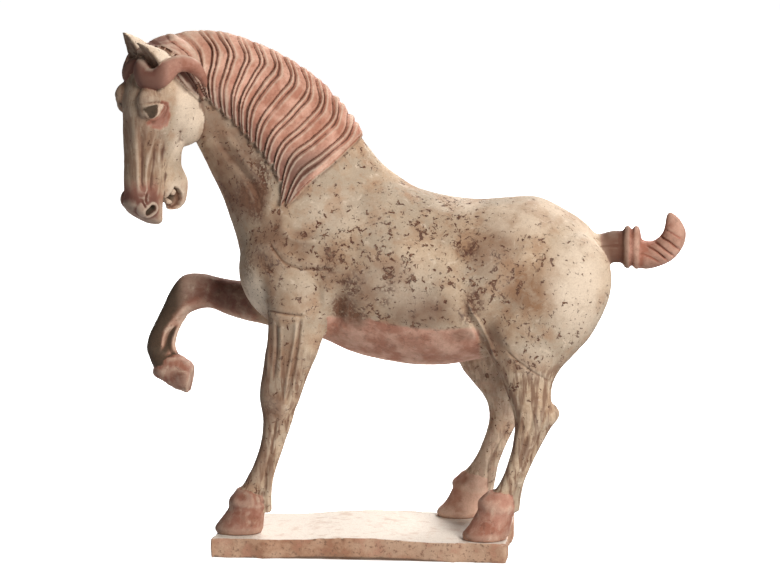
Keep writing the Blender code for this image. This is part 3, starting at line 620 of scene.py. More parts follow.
def join_pieces(pieces, name):
    """Make one object of several."""
    make_active(pieces[0])
    for piece in pieces:
        piece.select_set(True)
    bpy.ops.object.join()
    pieces[0].name = name
    return pieces[0]


def spline(rows):
    """Rows of numbers, with the rows between them on a smooth curve."""
    rows = np.asarray(rows, dtype=float)
    padded = np.vstack([2 * rows[0] - rows[1], rows, 2 * rows[-1] - rows[-2]])
    result = []
    for before, here, there, after in zip(padded, padded[1:], padded[2:], padded[3:]):
        for step in range(RINGS_PER_SPAN):
            t = step / RINGS_PER_SPAN
            curve = 2 * here + (there - before) * t
            curve = curve + (2 * before - 5 * here + 4 * there - after) * t ** 2
            curve = curve + (3 * here - before - 3 * there + after) * t ** 3
            result.append(curve / 2)
    result.append(rows[-1])
    return np.array(result)


def cut_ring(row, egg, power, hollow):
    """The points of one cut; egg moves its widest place, power squares its corners."""
    x1, z1, x2, z2, y, half_width = row
    angle = np.arange(RING_POINTS) * 2 * math.pi / RING_POINTS
    along = np.sign(np.cos(angle)) * np.abs(np.cos(angle)) ** (2 / power)
    across = np.sign(np.sin(angle)) * np.abs(np.sin(angle)) ** (2 / power)
    across = across * (1 - egg * along)
    from_front = np.minimum(angle, 2 * math.pi - angle)
    along = along - hollow * np.exp(-(from_front / HOLLOW_HALF_ANGLE) ** 4)
    middle = np.array([(x1 + x2) / 2, y, (z1 + z2) / 2])
    reach = np.array([(x1 - x2) / 2, 0, (z1 - z2) / 2])
    side = np.array([0, half_width, 0])
    return middle + along[:, None] * reach + across[:, None] * side


def mark_all(piece, label):
    """Remember which form a point came from, as a vertex group."""
    piece.vertex_groups.new(name=label).add(range(len(piece.data.vertices)), 1.0, "REPLACE")


def extruded_form(rings, label):
    """A circle extruded from cut to cut, closed at both ends."""
    deselect_all()
    bpy.ops.mesh.primitive_circle_add(vertices=RING_POINTS, fill_type="NGON")
    piece = bpy.context.object
    number = piece.data.attributes.new("number", "INT", "POINT")
    number.data.foreach_set("value", range(RING_POINTS))
    bpy.ops.object.mode_set(mode="EDIT")
    bpy.ops.mesh.select_all(action="SELECT")
    for count, ring in enumerate(rings):
        if count:
            bpy.ops.mesh.extrude_region_move()
        cage = bmesh.from_edit_mesh(piece.data)
        order = cage.verts.layers.int["number"]
        for vert in cage.verts:
            if vert.select:
                vert.co = ring[vert[order]]
    bpy.ops.mesh.select_all(action="SELECT")
    bpy.ops.mesh.normals_make_consistent(inside=False)
    bpy.ops.object.mode_set(mode="OBJECT")
    mark_all(piece, label)
    return piece


def form(rows, label, egg=0.0, power=2.0, hollow=0.0):
    """The form that a table of cuts describes."""
    rings = [cut_ring(row, egg, power, hollow) for row in spline(rows)]
    return extruded_form(rings, label)


def blob(shape, side, label):
    """An ellipsoid in the head frame, on the given side."""
    middle, radii = shape
    deselect_all()
    bpy.ops.mesh.primitive_uv_sphere_add(
        segments=36, ring_count=24, radius=1, location=(middle[0], middle[1] * side, middle[2]), scale=radii)
    piece = bpy.context.object
    bpy.ops.object.transform_apply(location=True, rotation=True, scale=True)
    mark_all(piece, label)
    return piece


def head_frame():
    """The matrix from the head's forward, side and height to the figure."""
    turn, roll, tuck = np.radians([HEAD_TURN, HEAD_ROLL, HEAD_TUCK])
    upright = np.array([0, 0, 1.0])
    level = np.array([-math.cos(turn), -math.sin(turn), 0])
    level_side = np.array([math.sin(turn), -math.cos(turn), 0])
    forward = level * math.cos(tuck) - upright * math.sin(tuck)
    tucked_up = upright * math.cos(tuck) + level * math.sin(tuck)
    side = level_side * math.cos(roll) - tucked_up * math.sin(roll)
    top = tucked_up * math.cos(roll) + level_side * math.sin(roll)
    return np.vstack([np.column_stack([forward, side, top, HEAD_PLACE]), [0, 0, 0, 1]])


def ear_rows(side):
    """The ear on the given side; the near one sits lower and further forward."""
    rows = []
    for count, (f1, h1, f2, h2, across, half_width) in enumerate(EAR):
        ahead = NEAR_EAR_FORWARD * (side == 1)
        drop = NEAR_EAR_DROP * (side == 1) * (1 - count / (len(EAR) - 1))
        rows.append((f1 + ahead, h1 - drop, f2 + ahead, h2 - drop, across * side, half_width))
    return rows


def forelock_rings(side):
    """Rings square to the path of one horn-shaped lock."""
    rows = spline(FORELOCK)
    path = rows[:, [0, 2, 1]]
    path[:, 0] -= FAR_LOCK_BACK * (side == -1)
    path[:, 1] *= side
    heading = np.gradient(path, axis=0)
    heading /= np.linalg.norm(heading, axis=1)[:, None]
    angle = np.arange(RING_POINTS) * 2 * math.pi / RING_POINTS
    rings = []
    for middle, ahead, row in zip(path, heading, rows):
        outward = np.cross(ahead, (0, 0, 1))
        outward /= np.linalg.norm(outward)
        upward = np.cross(outward, ahead)
        ring = middle + np.cos(angle)[:, None] * upward * row[3]
        rings.append(ring + np.sin(angle)[:, None] * outward * row[4])
    return rings


def head_forms():
    """The head with its ears and forelock as overlapping forms, turned to its place."""
    pieces = [form(rows, "head", power=HEAD_POWER) for rows in (SKULL, JAW)]
    pieces += [blob(shape, 1, "head") for shape in (CHEEK, JOWL)]
    for side, nostril in ((-1, FAR_NOSTRIL), (1, NOSTRIL)):
        pieces += [blob(shape, side, "head") for shape in (BROW, EYE, nostril)]
        pieces.append(form(ear_rows(side), "ear", hollow=EAR_HOLLOW))
        pieces.append(blob(TOOTH, side, "teeth"))
        pieces.append(extruded_form(forelock_rings(side), "forelock"))
    head = join_pieces(pieces, "head")
    head.data.transform(Matrix(head_frame().tolist()))
    return head


def body_forms():
    """The trunk, neck, legs and tail as overlapping forms."""
    pieces = [form(TORSO, "body"), form(NECK, "body", egg=NECK_EGG)]
    for rows in (NEAR_FORE_LEG, NEAR_HIND_LEG, FAR_HIND_LEG, RAISED_LEG):
        pieces.append(form(rows, "leg", power=LEG_POWER))
    for rows in (NEAR_FORE_TENDON, NEAR_HIND_TENDON, FAR_HIND_TENDON, RAISED_TENDON):
        pieces.append(form(rows, "tendon", power=TENDON_POWER))
    for rows in (NEAR_FORE_HOOF, NEAR_HIND_HOOF, FAR_HIND_HOOF, RAISED_HOOF):
        pieces.append(form(rows, "hoof"))
    for rows in (TAIL_ROOT, TAIL_PLUME, TAIL_KNOT):
        pieces.append(form(rows, "tail"))
    return join_pieces(pieces, "body")


def one_skin(piece, voxel, passes):
    """One closed skin around overlapping forms, which keeps their labels."""
    pattern = piece.copy()
    pattern.data = piece.data.copy()
    bpy.context.scene.collection.objects.link(pattern)
    apply_modifier(piece, "REMESH", mode="VOXEL", voxel_size=voxel, adaptivity=0.0)
    apply_modifier(piece, "SMOOTH", factor=0.5, iterations=passes)
    piece.vertex_groups.clear()
    for group in pattern.vertex_groups:
        piece.vertex_groups.new(name=group.name)
    apply_modifier(
        piece, "DATA_TRANSFER", object=pattern, use_vert_data=True, data_types_verts={"VGROUP_WEIGHTS"},
        vert_mapping="POLYINTERP_NEAREST", layers_vgroup_select_src="ALL", layers_vgroup_select_dst="NAME")
    bpy.data.objects.remove(pattern, do_unlink=True)


def points_of(piece):
    """Vertex places and normals as arrays."""
    mesh = piece.data
    places = np.empty(len(mesh.vertices) * 3)
    normals = np.empty(len(mesh.vertices) * 3)
    mesh.vertices.foreach_get("co", places)
    mesh.vertex_normals.foreach_get("vector", normals)
    return places.reshape(-1, 3), normals.reshape(-1, 3)


def set_points(piece, places):
    """Write the vertex places back."""
    piece.data.vertices.foreach_set("co", places.ravel())
    piece.data.update()


def share_of(piece, label):
    """How far each point belongs to a labelled form, from 0 to 1."""
    share = np.zeros(len(piece.data.vertices))
    group = piece.vertex_groups.get(label)
    if group is not None:
        for vert in piece.data.vertices:
            for entry in vert.groups:
                if entry.group == group.index:
                    share[vert.index] = entry.weight
    return share


def label_points(piece, label, share):
    """Store a share from 0 to 1 at each point as a vertex group."""
    group = piece.vertex_groups.new(name=label)
    for step in range(1, 11):
        chosen = np.nonzero(np.round(share * 10) == step)[0]
        group.add([int(i) for i in chosen], step / 10, "REPLACE")


def grow(values, low, high):
    """0 below low, 1 above high, with a smooth way between."""
    t = np.clip((values - low) / (high - low), 0, 1)
    return t * t * (3 - 2 * t)


def fade(values, low, high):
    """1 below low, 0 above high, with a smooth way between."""
    return 1 - grow(values, low, high)


def bell(values, middle, reach):
    """1 in the middle, falling away to both sides within about the given reach."""
    return np.exp(-((values - middle) / reach) ** 2)


def most(*shares):
    """The greatest of several shares at each point."""
    return np.maximum.reduce(shares)


def nearest_on_path(places, path):
    """Distance from each place to a path, and on which side of it the place lies in a side view."""
    path = np.asarray(path, dtype=float)
    nearest = np.full(len(places), np.inf)
    side = np.ones(len(places))
    for start, end in zip(path, path[1:]):
        span = end - start
        offset = places - start
        share = np.clip(offset @ span / max(span @ span, 1e-9), 0, 1)
        gap = np.linalg.norm(offset - share[:, None] * span, axis=1)
        side = np.where(gap < nearest, np.sign(offset[:, 1] * span[0] - offset[:, 0] * span[1]), side)
        nearest = np.minimum(nearest, gap)
    return nearest, side


def distance_to_path(places, path):
    """Distance from each place to a path of two or three coordinates."""
    return nearest_on_path(places, path)[0]


def side_of_path(places, path):
    """Distance in the side view to a line drawn on at both ends, negative ahead of it."""
    first = path[0] + (path[0] - path[1]) * DRAWN_ON
    last = path[-1] + (path[-1] - path[-2]) * DRAWN_ON
    gap, side = nearest_on_path(places, np.vstack([first, path, last]))
    return gap * side


def depth_inside(places, outline):
    """Distance in the side view to a closed outline, negative outside it."""
    outline = np.asarray(outline + outline[:1], dtype=float)
    inside = np.zeros(len(places), dtype=bool)
    for start, end in zip(outline, outline[1:]):
        if start[1] == end[1]:
            continue
        between = (start[1] > places[:, 1]) != (end[1] > places[:, 1])
        share = (places[:, 1] - start[1]) / (end[1] - start[1])
        crossing = start[0] + share * (end[0] - start[0])
        inside ^= between & (places[:, 0] < crossing)
    return distance_to_path(places, outline) * np.where(inside, 1, -1)


def clay_noise(places, size, seed):
    """Smooth uneven relief from -1 to 1, in lumps of about the given size."""
    lattice = np.random.default_rng(seed).uniform(-1, 1, (LUMP_CELLS, LUMP_CELLS, LUMP_CELLS))
    spot = places / size
    cell = np.floor(spot).astype(int)
    share = spot - cell
    share = share * share * (3 - 2 * share)
    total = np.zeros(len(places))
    for corner in itertools.product((0, 1), repeat=3):
        weight = np.prod(np.where(corner, share, 1 - share), axis=1)
        i, j, k = ((cell + corner) % LUMP_CELLS).T
        total += weight * lattice[i, j, k]
    return total


def lumpy(places, *lumps):
    """Uneven relief, from its depths, sizes of lumps and seeds."""
    return sum(depth * clay_noise(places, size, seed) for depth, size, seed in lumps)


def lock_curves():
    """The line of every lock, those of the table and those halfway between them."""
    table = [spline(line) for line in LOCK_LINES]
    lines = []
    for line, following in zip(table, table[1:]):
        lines += [line, (line + following) / 2]
    lines.append(table[-1])
    return lines


def lock_place(side_view):
    """Where each point lies across its lock, from 0 to 1, and its distance to the nearest groove."""
    gaps = np.array([side_of_path(side_view, line) for line in lock_curves()])
    behind = (gaps > 0).sum(axis=0)
    last = len(gaps) - 1
    ahead_gap = gaps[np.clip(behind - 1, 0, last), np.arange(gaps.shape[1])]
    rear_gap = gaps[np.clip(behind, 0, last), np.arange(gaps.shape[1])]
    ahead_gap = np.where(behind == 0, LOCK_WIDTH - np.abs(rear_gap), np.abs(ahead_gap))
    rear_gap = np.where(behind > last, LOCK_WIDTH - np.abs(ahead_gap), np.abs(rear_gap))
    across = ahead_gap / np.maximum(ahead_gap + rear_gap, 1e-6)
    return across, np.abs(gaps).min(axis=0)


def mane_step(places, inside):
    """How far the mane stands off the surface, with a notch in its edge at each groove."""
    gap = lock_place(places[:, [0, 2]])[1]
    return grow(inside - LOCK_NOTCH * fade(gap, 0, NOTCH_REACH), *MANE_EDGE_WIDTH)


def inside_neck_mane(places):
    """How far each point lies within the mane of the neck, negative outside it."""
    return depth_inside(places[:, [0, 2]], MANE_EDGE + ABOVE_CREST)


def inside_poll_mane(places):
    """How far each point lies behind the front edge of the mane on the head."""
    forward, _, height = in_head_frame(places).T
    return np.interp(height, POLL_LINE_HEIGHT, POLL_LINE_FORWARD) - forward


def mane_locks(places, normals):
    """Relief of the locks: a sharp groove, an arris right behind it, and a fluted slope to the next."""
    across, gap = lock_place(places[:, [0, 2]])
    across = across + lumpy(places, LOCK_WANDER)
    relief = sum(ARRIS_HEIGHT * strength * bell(across, *spot) for *spot, strength in LOCK_RELIEF)
    relief -= SLOPE_DEPTH * grow(across, *LOCK_SLOPE) + GROOVE_DEPTH * bell(gap, 0, GROOVE_HALF_WIDTH)
    on_crest = grow(np.abs(normals[:, 2]), 0.45, 0.95)
    return relief * (1 + lumpy(places, LOCK_LUMPS)) * (1 - CREST_FLATTER * on_crest)


def carved(places, lines):
    """How far lines raise or sink each point; a line's depth is taken from the surface."""
    flat = np.array([1, DEPTH_WEIGHT, 1])
    height = np.zeros(len(places))
    for path, reach, rise in lines:
        path = spline(path)
        margin = 2 * reach + 6
        chosen = np.all((places > path.min(axis=0) - margin) & (places < path.max(axis=0) + margin), axis=1)
        if not chosen.any():
            continue
        spots = places[chosen]
        near = [int(np.argmin(((spots - point) ** 2).sum(axis=1))) for point in path]
        path[:, 1] = spots[near, 1]
        path = path * flat
        spots = spots * flat
        gap = distance_to_path(spots, path)
        from_end = np.minimum(
            np.linalg.norm(spots - path[0], axis=1), np.linalg.norm(spots - path[-1], axis=1))
        height[chosen] += rise * fade(gap, 0, reach) * grow(from_end, -reach, 3 * reach)
    return height


def both_sides(lines):
    """Each line, and its mirror image in the middle plane."""
    result = []
    for path, reach, rise in lines:
        result.append((path, reach, rise))
        result.append(([(a, -b, c) for a, b, c in path], reach, rise))
    return result


def moved_by(places, matrix):
    """The places moved by a matrix."""
    return places @ matrix[:3, :3].T + matrix[:3, 3]


def in_head_frame(places):
    """Forward, side and height of each place from the head's own point."""
    return moved_by(places, np.linalg.inv(head_frame()))


def in_spot(head_places, spot):
    """Distance from a spot of the head in units of its reach, seen from either side."""
    forward, height, reach_forward, reach_height = spot
    across = (head_places[:, 0] - forward) / reach_forward
    return np.hypot(across, (head_places[:, 2] - height) / reach_height)


def in_nostril(head_places):
    """Distance from the nostril slit of the same side, in units of its reach."""
    shift = np.where(head_places[:, 1] < 0, 1.0, 0.0)[:, None] * FAR_NOSTRIL_STEP
    return distance_to_path((head_places - shift)[:, [0, 2]], NOSTRIL_SLIT) / NOSTRIL_REACH


def seam_share(head_places):
    """How near each point is to the place where the two manes meet, from 0 to 1."""
    return fade(np.linalg.norm(head_places - MANE_SEAM, axis=1), *SEAM_REACH)


def in_upper_tooth(head_places):
    """How far each point lies on the upper tooth, from 0 to 1."""
    return fade(in_spot(head_places, UPPER_TOOTH), 0.75, 1.1)


def mouth_share(head_places):
    """How far each point lies in the mouth opening, from 0 to 1."""
    inside = depth_inside(head_places[:, [0, 2]], MOUTH)
    outward = grow(np.abs(head_places[:, 1]), 2.0, 4.0)
    return grow(inside, -0.4, 1.8) * outward


def open_face(head_places, head, teeth):
    """The head's places with the mouth and nostrils sunk towards the middle."""
    moved = head_places.copy()
    sink = MOUTH_DEPTH * mouth_share(head_places) * head * (1 - teeth)
    sink *= 1 - 0.5 * in_upper_tooth(head_places)
    nostril = in_nostril(head_places)
    sink += NOSTRIL_DEPTH * fade(nostril, 0.45, 1.1) * head
    rim = NOSTRIL_RIM * bell(nostril, 1.45, 0.35) * head
    moved[:, 1] -= np.sign(moved[:, 1]) * np.minimum(sink, np.abs(moved[:, 1]))
    moved[:, 1] += np.sign(moved[:, 1]) * rim
    return moved


def soften(piece, share, passes):
    """Let forms run into each other as smoothed clay does, by the share at each point."""
    label_points(piece, "soft", share)
    apply_modifier(piece, "SMOOTH", factor=0.5, iterations=passes, vertex_group="soft")
    piece.vertex_groups.remove(piece.vertex_groups["soft"])


def soften_trunk(body):
    """Soften the trunk, neck and thighs."""
    x, _, z = points_of(body)[0].T
    soft = grow(z, SOFT_ABOVE - SOFT_EDGE, SOFT_ABOVE + SOFT_EDGE)
    soft *= grow(x, SOFT_FROM - SOFT_EDGE, SOFT_FROM + SOFT_EDGE)
    soften(body, soft * fade(x, SOFT_TO - SOFT_EDGE, SOFT_TO + SOFT_EDGE), SOFT_PASSES)


def soften_face(figure):
    """Soften brow, eyeball and cheek, and the place where the two manes meet."""
    head_places = in_head_frame(points_of(figure)[0])
    height = head_places[:, 2]
    share = share_of(figure, "head") * grow(height, -60, -46) * fade(height, 24, 32)
    soften(figure, most(share, seam_share(head_places)), FACE_PASSES)


def raise_mane(piece, inside, share=1.0):
    """Raise the mane where points lie within it, and give back how far."""
    places, normals = points_of(piece)
    step = mane_step(places, inside(places)) * share
    set_points(piece, places + normals * (MANE_STEP * step)[:, None])
    return step


def cover_poll(figure):
    """Carry the mane on over the back of the head to the ears."""
    near_seam = seam_share(in_head_frame(points_of(figure)[0]))
    step = raise_mane(figure, inside_poll_mane, share_of(figure, "head"))
    label_points(figure, "poll", most(step, near_seam))


def carve_figure(figure):
    """Carve the locks, the lines, the face and the unevenness of hand-worked clay."""
    places, normals = points_of(figure)
    height = carved(places, BODY_LINES + RUMP_CLEFT + both_sides(TAIL_LINES))
    mane = most(share_of(figure, "mane"), share_of(figure, "poll")) > 0.5
    height[mane] += mane_locks(places[mane], normals[mane])
    head = share_of(figure, "head")
    head_places = in_head_frame(places)
    near_head = head + share_of(figure, "forelock") > 0.3
    height[near_head] += carved(head_places[near_head], both_sides(HEAD_LINES))
    coronet = share_of(figure, "hoof") * grow(places[:, 2], *CORONET_EDGE)
    height += lumpy(places, *CLAY_LUMPS) + coronet * lumpy(places, CORONET_LUMPS)
    opened = open_face(head_places, head, share_of(figure, "teeth"))
    places = moved_by(opened, head_frame()) + normals * height[:, None]
    places[:, 2] = np.where(places[:, 2] < SOLE_BAND, 0.0, places[:, 2])
    set_points(figure, places)


def build_figure():
    """The whole horse on one fine skin, still in table millimetres."""
    body = body_forms()
    one_skin(body, BODY_VOXEL, 3)
    soften_trunk(body)
    label_points(body, "mane", raise_mane(body, inside_neck_mane))
    figure = join_pieces([body, head_forms()], "painted_horse")
    one_skin(figure, SKIN_VOXEL, 2)
    soften_face(figure)
    cover_poll(figure)
    carve_figure(figure)
    ratio = FIGURE_TRIANGLES / (2 * len(figure.data.polygons))
    apply_modifier(figure, "DECIMATE", ratio=ratio, use_collapse_triangulate=True)
    return figure


def stain(places, spots):
    """Soft patches of the near side, and the same ones fainter on the far side."""
    total = np.zeros(len(places))
    for x, z, reach_x, reach_z, strength in spots:
        gap = np.hypot((places[:, 0] - x) / reach_x, (places[:, 2] - z) / reach_z)
        total = most(total, strength * fade(gap, 0.25, 1.1))
    return total * np.where(places[:, 1] < 10, 1.0, FAR_STAINS)


def smoothed_places(mesh, places, passes):
    """The points after a few passes of averaging with their neighbours."""
    edges = np.empty(len(mesh.edges) * 2, dtype=np.int32)
    mesh.edges.foreach_get("vertices", edges)
    edges = edges.reshape(-1, 2)
    ends = edges.T.ravel()
    others = edges[:, ::-1].T.ravel()
    count = np.bincount(ends, minlength=len(places))[:, None]
    for _ in range(passes):
        total = np.stack([np.bincount(ends, axis[others], len(places)) for axis in places.T], axis=1)
        places = 0.5 * places + 0.5 * total / count
    return places


def store(piece, name, values):
    """Keep a value for each point, which a material reads."""
    attribute = piece.data.attributes.new(name, "FLOAT", "POINT")
    attribute.data.foreach_set("value", np.asarray(values, dtype=np.float32))


def paint_figure(figure):
    """Say where each paint, stain and hollow lies, and where shade and light are painted."""
    places, normals = points_of(figure)
    x, y, z = places.T
    labels = ("head", "ear", "teeth", "forelock", "mane", "poll", "leg", "hoof", "tail")
    head, ear, teeth, forelock, mane, poll, leg, hoof, tail = (share_of(figure, label) for label in labels)
    mane = most(mane, poll)
    head = head * (1 - mane)
    plain = (1 - head) * (1 - mane)
    head_places = in_head_frame(places)
    forward, _, height = head_places.T
    head_view = head_places[:, [0, 2]]
    paints = {name: stain(places, spots) * plain for name, spots in STAINS.items()}

    # Mane, tail and belly
    tail = tail * grow(x, 214, 222)
    tail_root = tail * fade(x, 238, 250)
    from_edge = inside_neck_mane(places)
    low_mane = mane * fade(from_edge, 2, 26) * fade(x, -62, -36)
    low_tip = mane * grow(from_edge, 6, 10) * fade(z, 338, 368)
    below = np.interp(x, BELLY_EDGE_X, BELLY_EDGE_Z) - z
    belly = grow(below, -7, 7) * (z > 140) * grow(x, -44, -34) * fade(x, 100, 118)
    belly *= fade(np.abs(y), 60, 66) * (1 - leg)

    # Legs: the raised one is dusky outside and pale beneath, the pale a painted light as from the table
    # below, with a dark shank
    raised = grow(y, 14, 22) * fade(x, -112, -92) * fade(z, 232, 244) * plain
    far_leg = grow(y, 20, 30) * grow(x, 40, 60) * fade(z, 170, 200)
    low_legs = fade(z, 150, 185) * (1 - belly)
    outward = normals[:, 2] - normals[:, 0]
    outer_leg = grow(outward, -0.65, 0.0)
    # Painted shade in the middle of the raised hoof
    hoof_heart = np.minimum(1, 2 * hoof) * bell(x, -182, 13) * bell(z, 135, 11)
    raised_dusk = raised * most((0.15 + 0.75 * outer_leg) * (1 - 0.8 * hoof), hoof_heart)
    shank = raised * outer_leg * fade(x, -186, -172) * grow(z, 130, 142) * fade(z, 218, 232) * (1 - hoof)

    # Face, eyes, nostrils and mouth
    face = head * grow(forward, -38, -12)
    cheek = head * fade(forward, -44, -30) * grow(height, -50, -34)
    temple = head * bell(forward, -21, 6) * bell(height, -33, 11)
    lips = head * fade(height, -84, -46)
    muzzle = lips * grow(forward, -32, -16)
    corner = head * grow(depth_inside(head_view, RED_BY_EYE), -3, 3)
    eye = head * grow(depth_inside(head_view, EYE_OPENING), -0.2, 0.8)
    iris = eye * fade(in_spot(head_places, IRIS), 0.8, 1.0)
    pupil = iris * fade(in_spot(head_places, PUPIL), 0.7, 1.1)
    inner_ear = ear * grow(normals @ head_frame()[:3, 0], 0.15, 0.5)
    slit = in_nostril(head_places)
    nostril = head * fade(slit, 0.8, 1.15)
    opening = head * mouth_share(head_places) * (1 - teeth)
    tooth = opening * in_upper_tooth(head_places)
    mouth = opening * (1 - tooth)
    lip_gap = depth_inside(head_view, MOUTH)
    lip = head * grow(lip_gap, -4, -2) * fade(lip_gap, -0.8, 0.2)
    mouth_edge = fade(lip_gap, 0.6, 1.8) * grow(forward, -52, -46)
    deep_mouth = mouth * most(grow(forward, -49, -44) * grow(height, -92, -84), mouth_edge)

    # What each finish covers
    red = most(mane, tail, 0.6 * hoof, 0.6 * raised, belly, forelock, 0.85 * muzzle, 0.4 * lips)
    paints["red"] = most(red, 0.9 * corner, 0.3 * far_leg, 0.9 * hoof * far_leg) * (1 - teeth)
    dusk = most(0.4 * forelock, forelock * grow(forward, -30, -12), raised_dusk, muzzle, 0.6 * corner)
    dusk = most(dusk, 0.95 * low_mane, low_tip, tail_root, 0.2 * hoof, 0.55 * hoof * (x < -50))
    paints["dusk"] = most(dusk, 0.25 * tail)
    paints["wear"] -= 0.6 * head
    # Grime and painted shade on the face front, which turns from the light, and below the eye
    paints["grime"] = most(paints["grime"], 0.52 * face * (1 - corner), 0.6 * temple)
    pale = most(0.85 * cheek, ear, 0.8 * lip, 0.35 * head * bell(slit, 1.6, 0.3), 0.15 * (lips - muzzle))
    # Painted light: the belly, the far hind leg and the raised leg's underside paler, as if lit from the
    # table below; the forelock's top paler as a painted highlight, partly worn slip
    pale = most(pale, mane * (1 - low_mane) * (0.1 + 0.2 * fade(x, -138, -122)), 0.2 * belly)
    pale = most(pale, 0.35 * far_leg, 0.6 * raised * grow(-outward, 0.2, 0.75) * (1 - 0.5 * hoof))
    paints["pale"] = most(paints["pale"], pale, 0.4 * forelock * grow(normals[:, 2], 0.5, 0.9))
    # Bare clay, and painted shade in the ear's hollow
    paints["bare"] = most(paints["bare"], 0.9 * inner_ear, 0.6 * mouth, 0.3 * tail_root, 0.95 * shank)
    paints["runs"] = most(0.85 * low_legs * plain, 0.6 * face, 0.3 * raised)
    paints["ivory"] = most(teeth, tooth, eye * (1 - iris))
    # Black: iris and pupil, and painted shade in the deep mouth, the nostrils and the ear's hollow
    black = most(0.95 * iris, pupil, 0.9 * deep_mouth, nostril, 0.4 * inner_ear)
    paints["black"] = most(black, 0.92 * shank, 0.15 * tail_root)
    # Painted shade and painted highlight: how far each point sinks below or stands above its neighbours,
    # which darkens grooves and hollows and lightens ridges
    for name, passes, scale in (("groove", 10, 0.6), ("hollow", 40, 2.5)):
        sunk = ((smoothed_places(figure.data, places, passes) - places) * normals).sum(axis=1)
        paints[name] = np.clip(sunk / scale, -1, 1)
    # Where grooves get painted shade and ridges a painted highlight
    carved_share = most(0.45 + 0.5 * mane, 0.9 * head * fade(height, -34, -20))
    paints["carved"] = carved_share * (1 - 0.8 * forelock)
    for name, values in paints.items():
        store(figure, name, values)


class Finish:
    """What a material or the surroundings are made of: a few kinds of node."""

    def __init__(self, owner):
        owner.use_nodes = True
        self.owner = owner
        self.tree = owner.node_tree

    def add(self, kind, *values, **settings):
        """A node with its settings, and values for its first sockets."""
        node = self.tree.nodes.new("ShaderNode" + kind)
        for key, value in settings.items():
            setattr(node, key, value)
        for socket, value in zip(node.inputs, values):
            self.put(socket, value)
        return node

    def put(self, socket, value):
        """Link a socket, read a value that the mesh stores by name, or set a plain value."""
        if isinstance(value, str):
            value = self.add("Attribute", attribute_name=value).outputs["Fac"]
        if isinstance(value, bpy.types.NodeSocket):
            self.tree.links.new(value, socket)
        else:
            socket.default_value = value

    def feed(self, node, **values):
        """Put values into a node's sockets by their names."""
        for name, value in values.items():
            self.put(node.inputs[name.replace("_", " ")], value)
        return node

    def place(self, kind="Object"):
        """Where a point lies."""
        return self.add("TexCoord").outputs[kind]

    def noise(self, size, detail=3.0, roughness=0.55, distortion=0.0, drawn_out=1.0):
        """Noise whose lumps are about the given size in millimetres, drawn out upright."""
        squeeze = self.add("VectorMath", self.place(), (1, 1, 1 / drawn_out), operation="MULTIPLY")
        node = self.add("TexNoise")
        self.feed(node, Vector=squeeze.outputs[0], Scale=1 / (size * MM), Detail=detail)
        return self.feed(node, Roughness=roughness, Distortion=distortion).outputs["Fac"]

    def math(self, operation, *values):
        """One sum of the given kind."""
        return self.add("Math", *values, operation=operation).outputs[0]

    def times(self, first, second):
        """A product."""
        return self.math("MULTIPLY", first, second)

    def plus(self, first, second):
        """A sum of two."""
        return self.math("ADD", first, second)

    def between(self, value, low, high, to_low=0.0, to_high=1.0, curve="SMOOTHSTEP"):
        """A value moved from one range to another."""
        return self.add("MapRange", value, low, high, to_low, to_high, interpolation_type=curve).outputs[0]

    def coats(self, colour, *coats):
        """A colour under coats, each given as its share and its own colour."""
        for share, coat in coats:
            node = self.add("Mix", share, data_type="RGBA")
            self.put(node.inputs[6], colour)
            self.put(node.inputs[7], coat)
            colour = node.outputs[2]
        return colour

    def use(self, colour, roughness, height):
        """Send colour, roughness and fine relief to the shader."""
        relief = self.feed(self.add("Bump"), Height=height, Distance=RELIEF * MM).outputs[0]
        shader = self.tree.nodes["Principled BSDF"]
        self.feed(shader, Base_Color=colour, Roughness=roughness, Normal=relief, Specular_IOR_Level=SHEEN)
        return self.owner


# Colours of slip, stains, clay and paint, some of them also painted shade and painted light, and the fine
# relief and sheen of both pieces
CREAM = (0.62, 0.465, 0.325, 1)
GREY_CREAM = (0.46, 0.365, 0.27, 1)
TAN = (0.43, 0.265, 0.165, 1)
# The white slip also serves as painted highlight and painted light
WHITE_SLIP_AND_PAINTED_LIGHT = (0.78, 0.64, 0.50, 1)
RUST = (0.31, 0.165, 0.085, 1)
# The grime colour also serves as painted shade
GRIME_AND_SHADE = (0.205, 0.11, 0.068, 1)
BARE_CLAY = (0.19, 0.092, 0.054, 1)
# The dark clay also serves as painted shade in grooves
DARK_CLAY_AND_GROOVE_SHADE = (0.09, 0.036, 0.024, 1)
RED_PAINT = (0.70, 0.37, 0.275, 1)
RED_DEEP = (0.43, 0.17, 0.11, 1)
DUSKY_ROSE = (0.155, 0.062, 0.045, 1)
IVORY = (0.66, 0.50, 0.38, 1)
NEARLY_BLACK = (0.05, 0.035, 0.022, 1)
PLATE_TAN = (0.53, 0.31, 0.20, 1)
PLATE_BROWN = (0.38, 0.185, 0.105, 1)
PLATE_BUFF = (0.60, 0.42, 0.30, 1)
PLATE_BLUSH = (0.56, 0.26, 0.18, 1)
# The plate's slip also serves as painted light on its top
PLATE_SLIP_AND_TOP_LIGHT = (0.86, 0.78, 0.69, 1)
PLATE_DIRT = (0.24, 0.14, 0.09, 1)
FLOOR_WHITE = (0.82, 0.82, 0.82, 1)
WHITE = (1, 1, 1, 1)
RELIEF = 0.4
SHEEN = 0.25


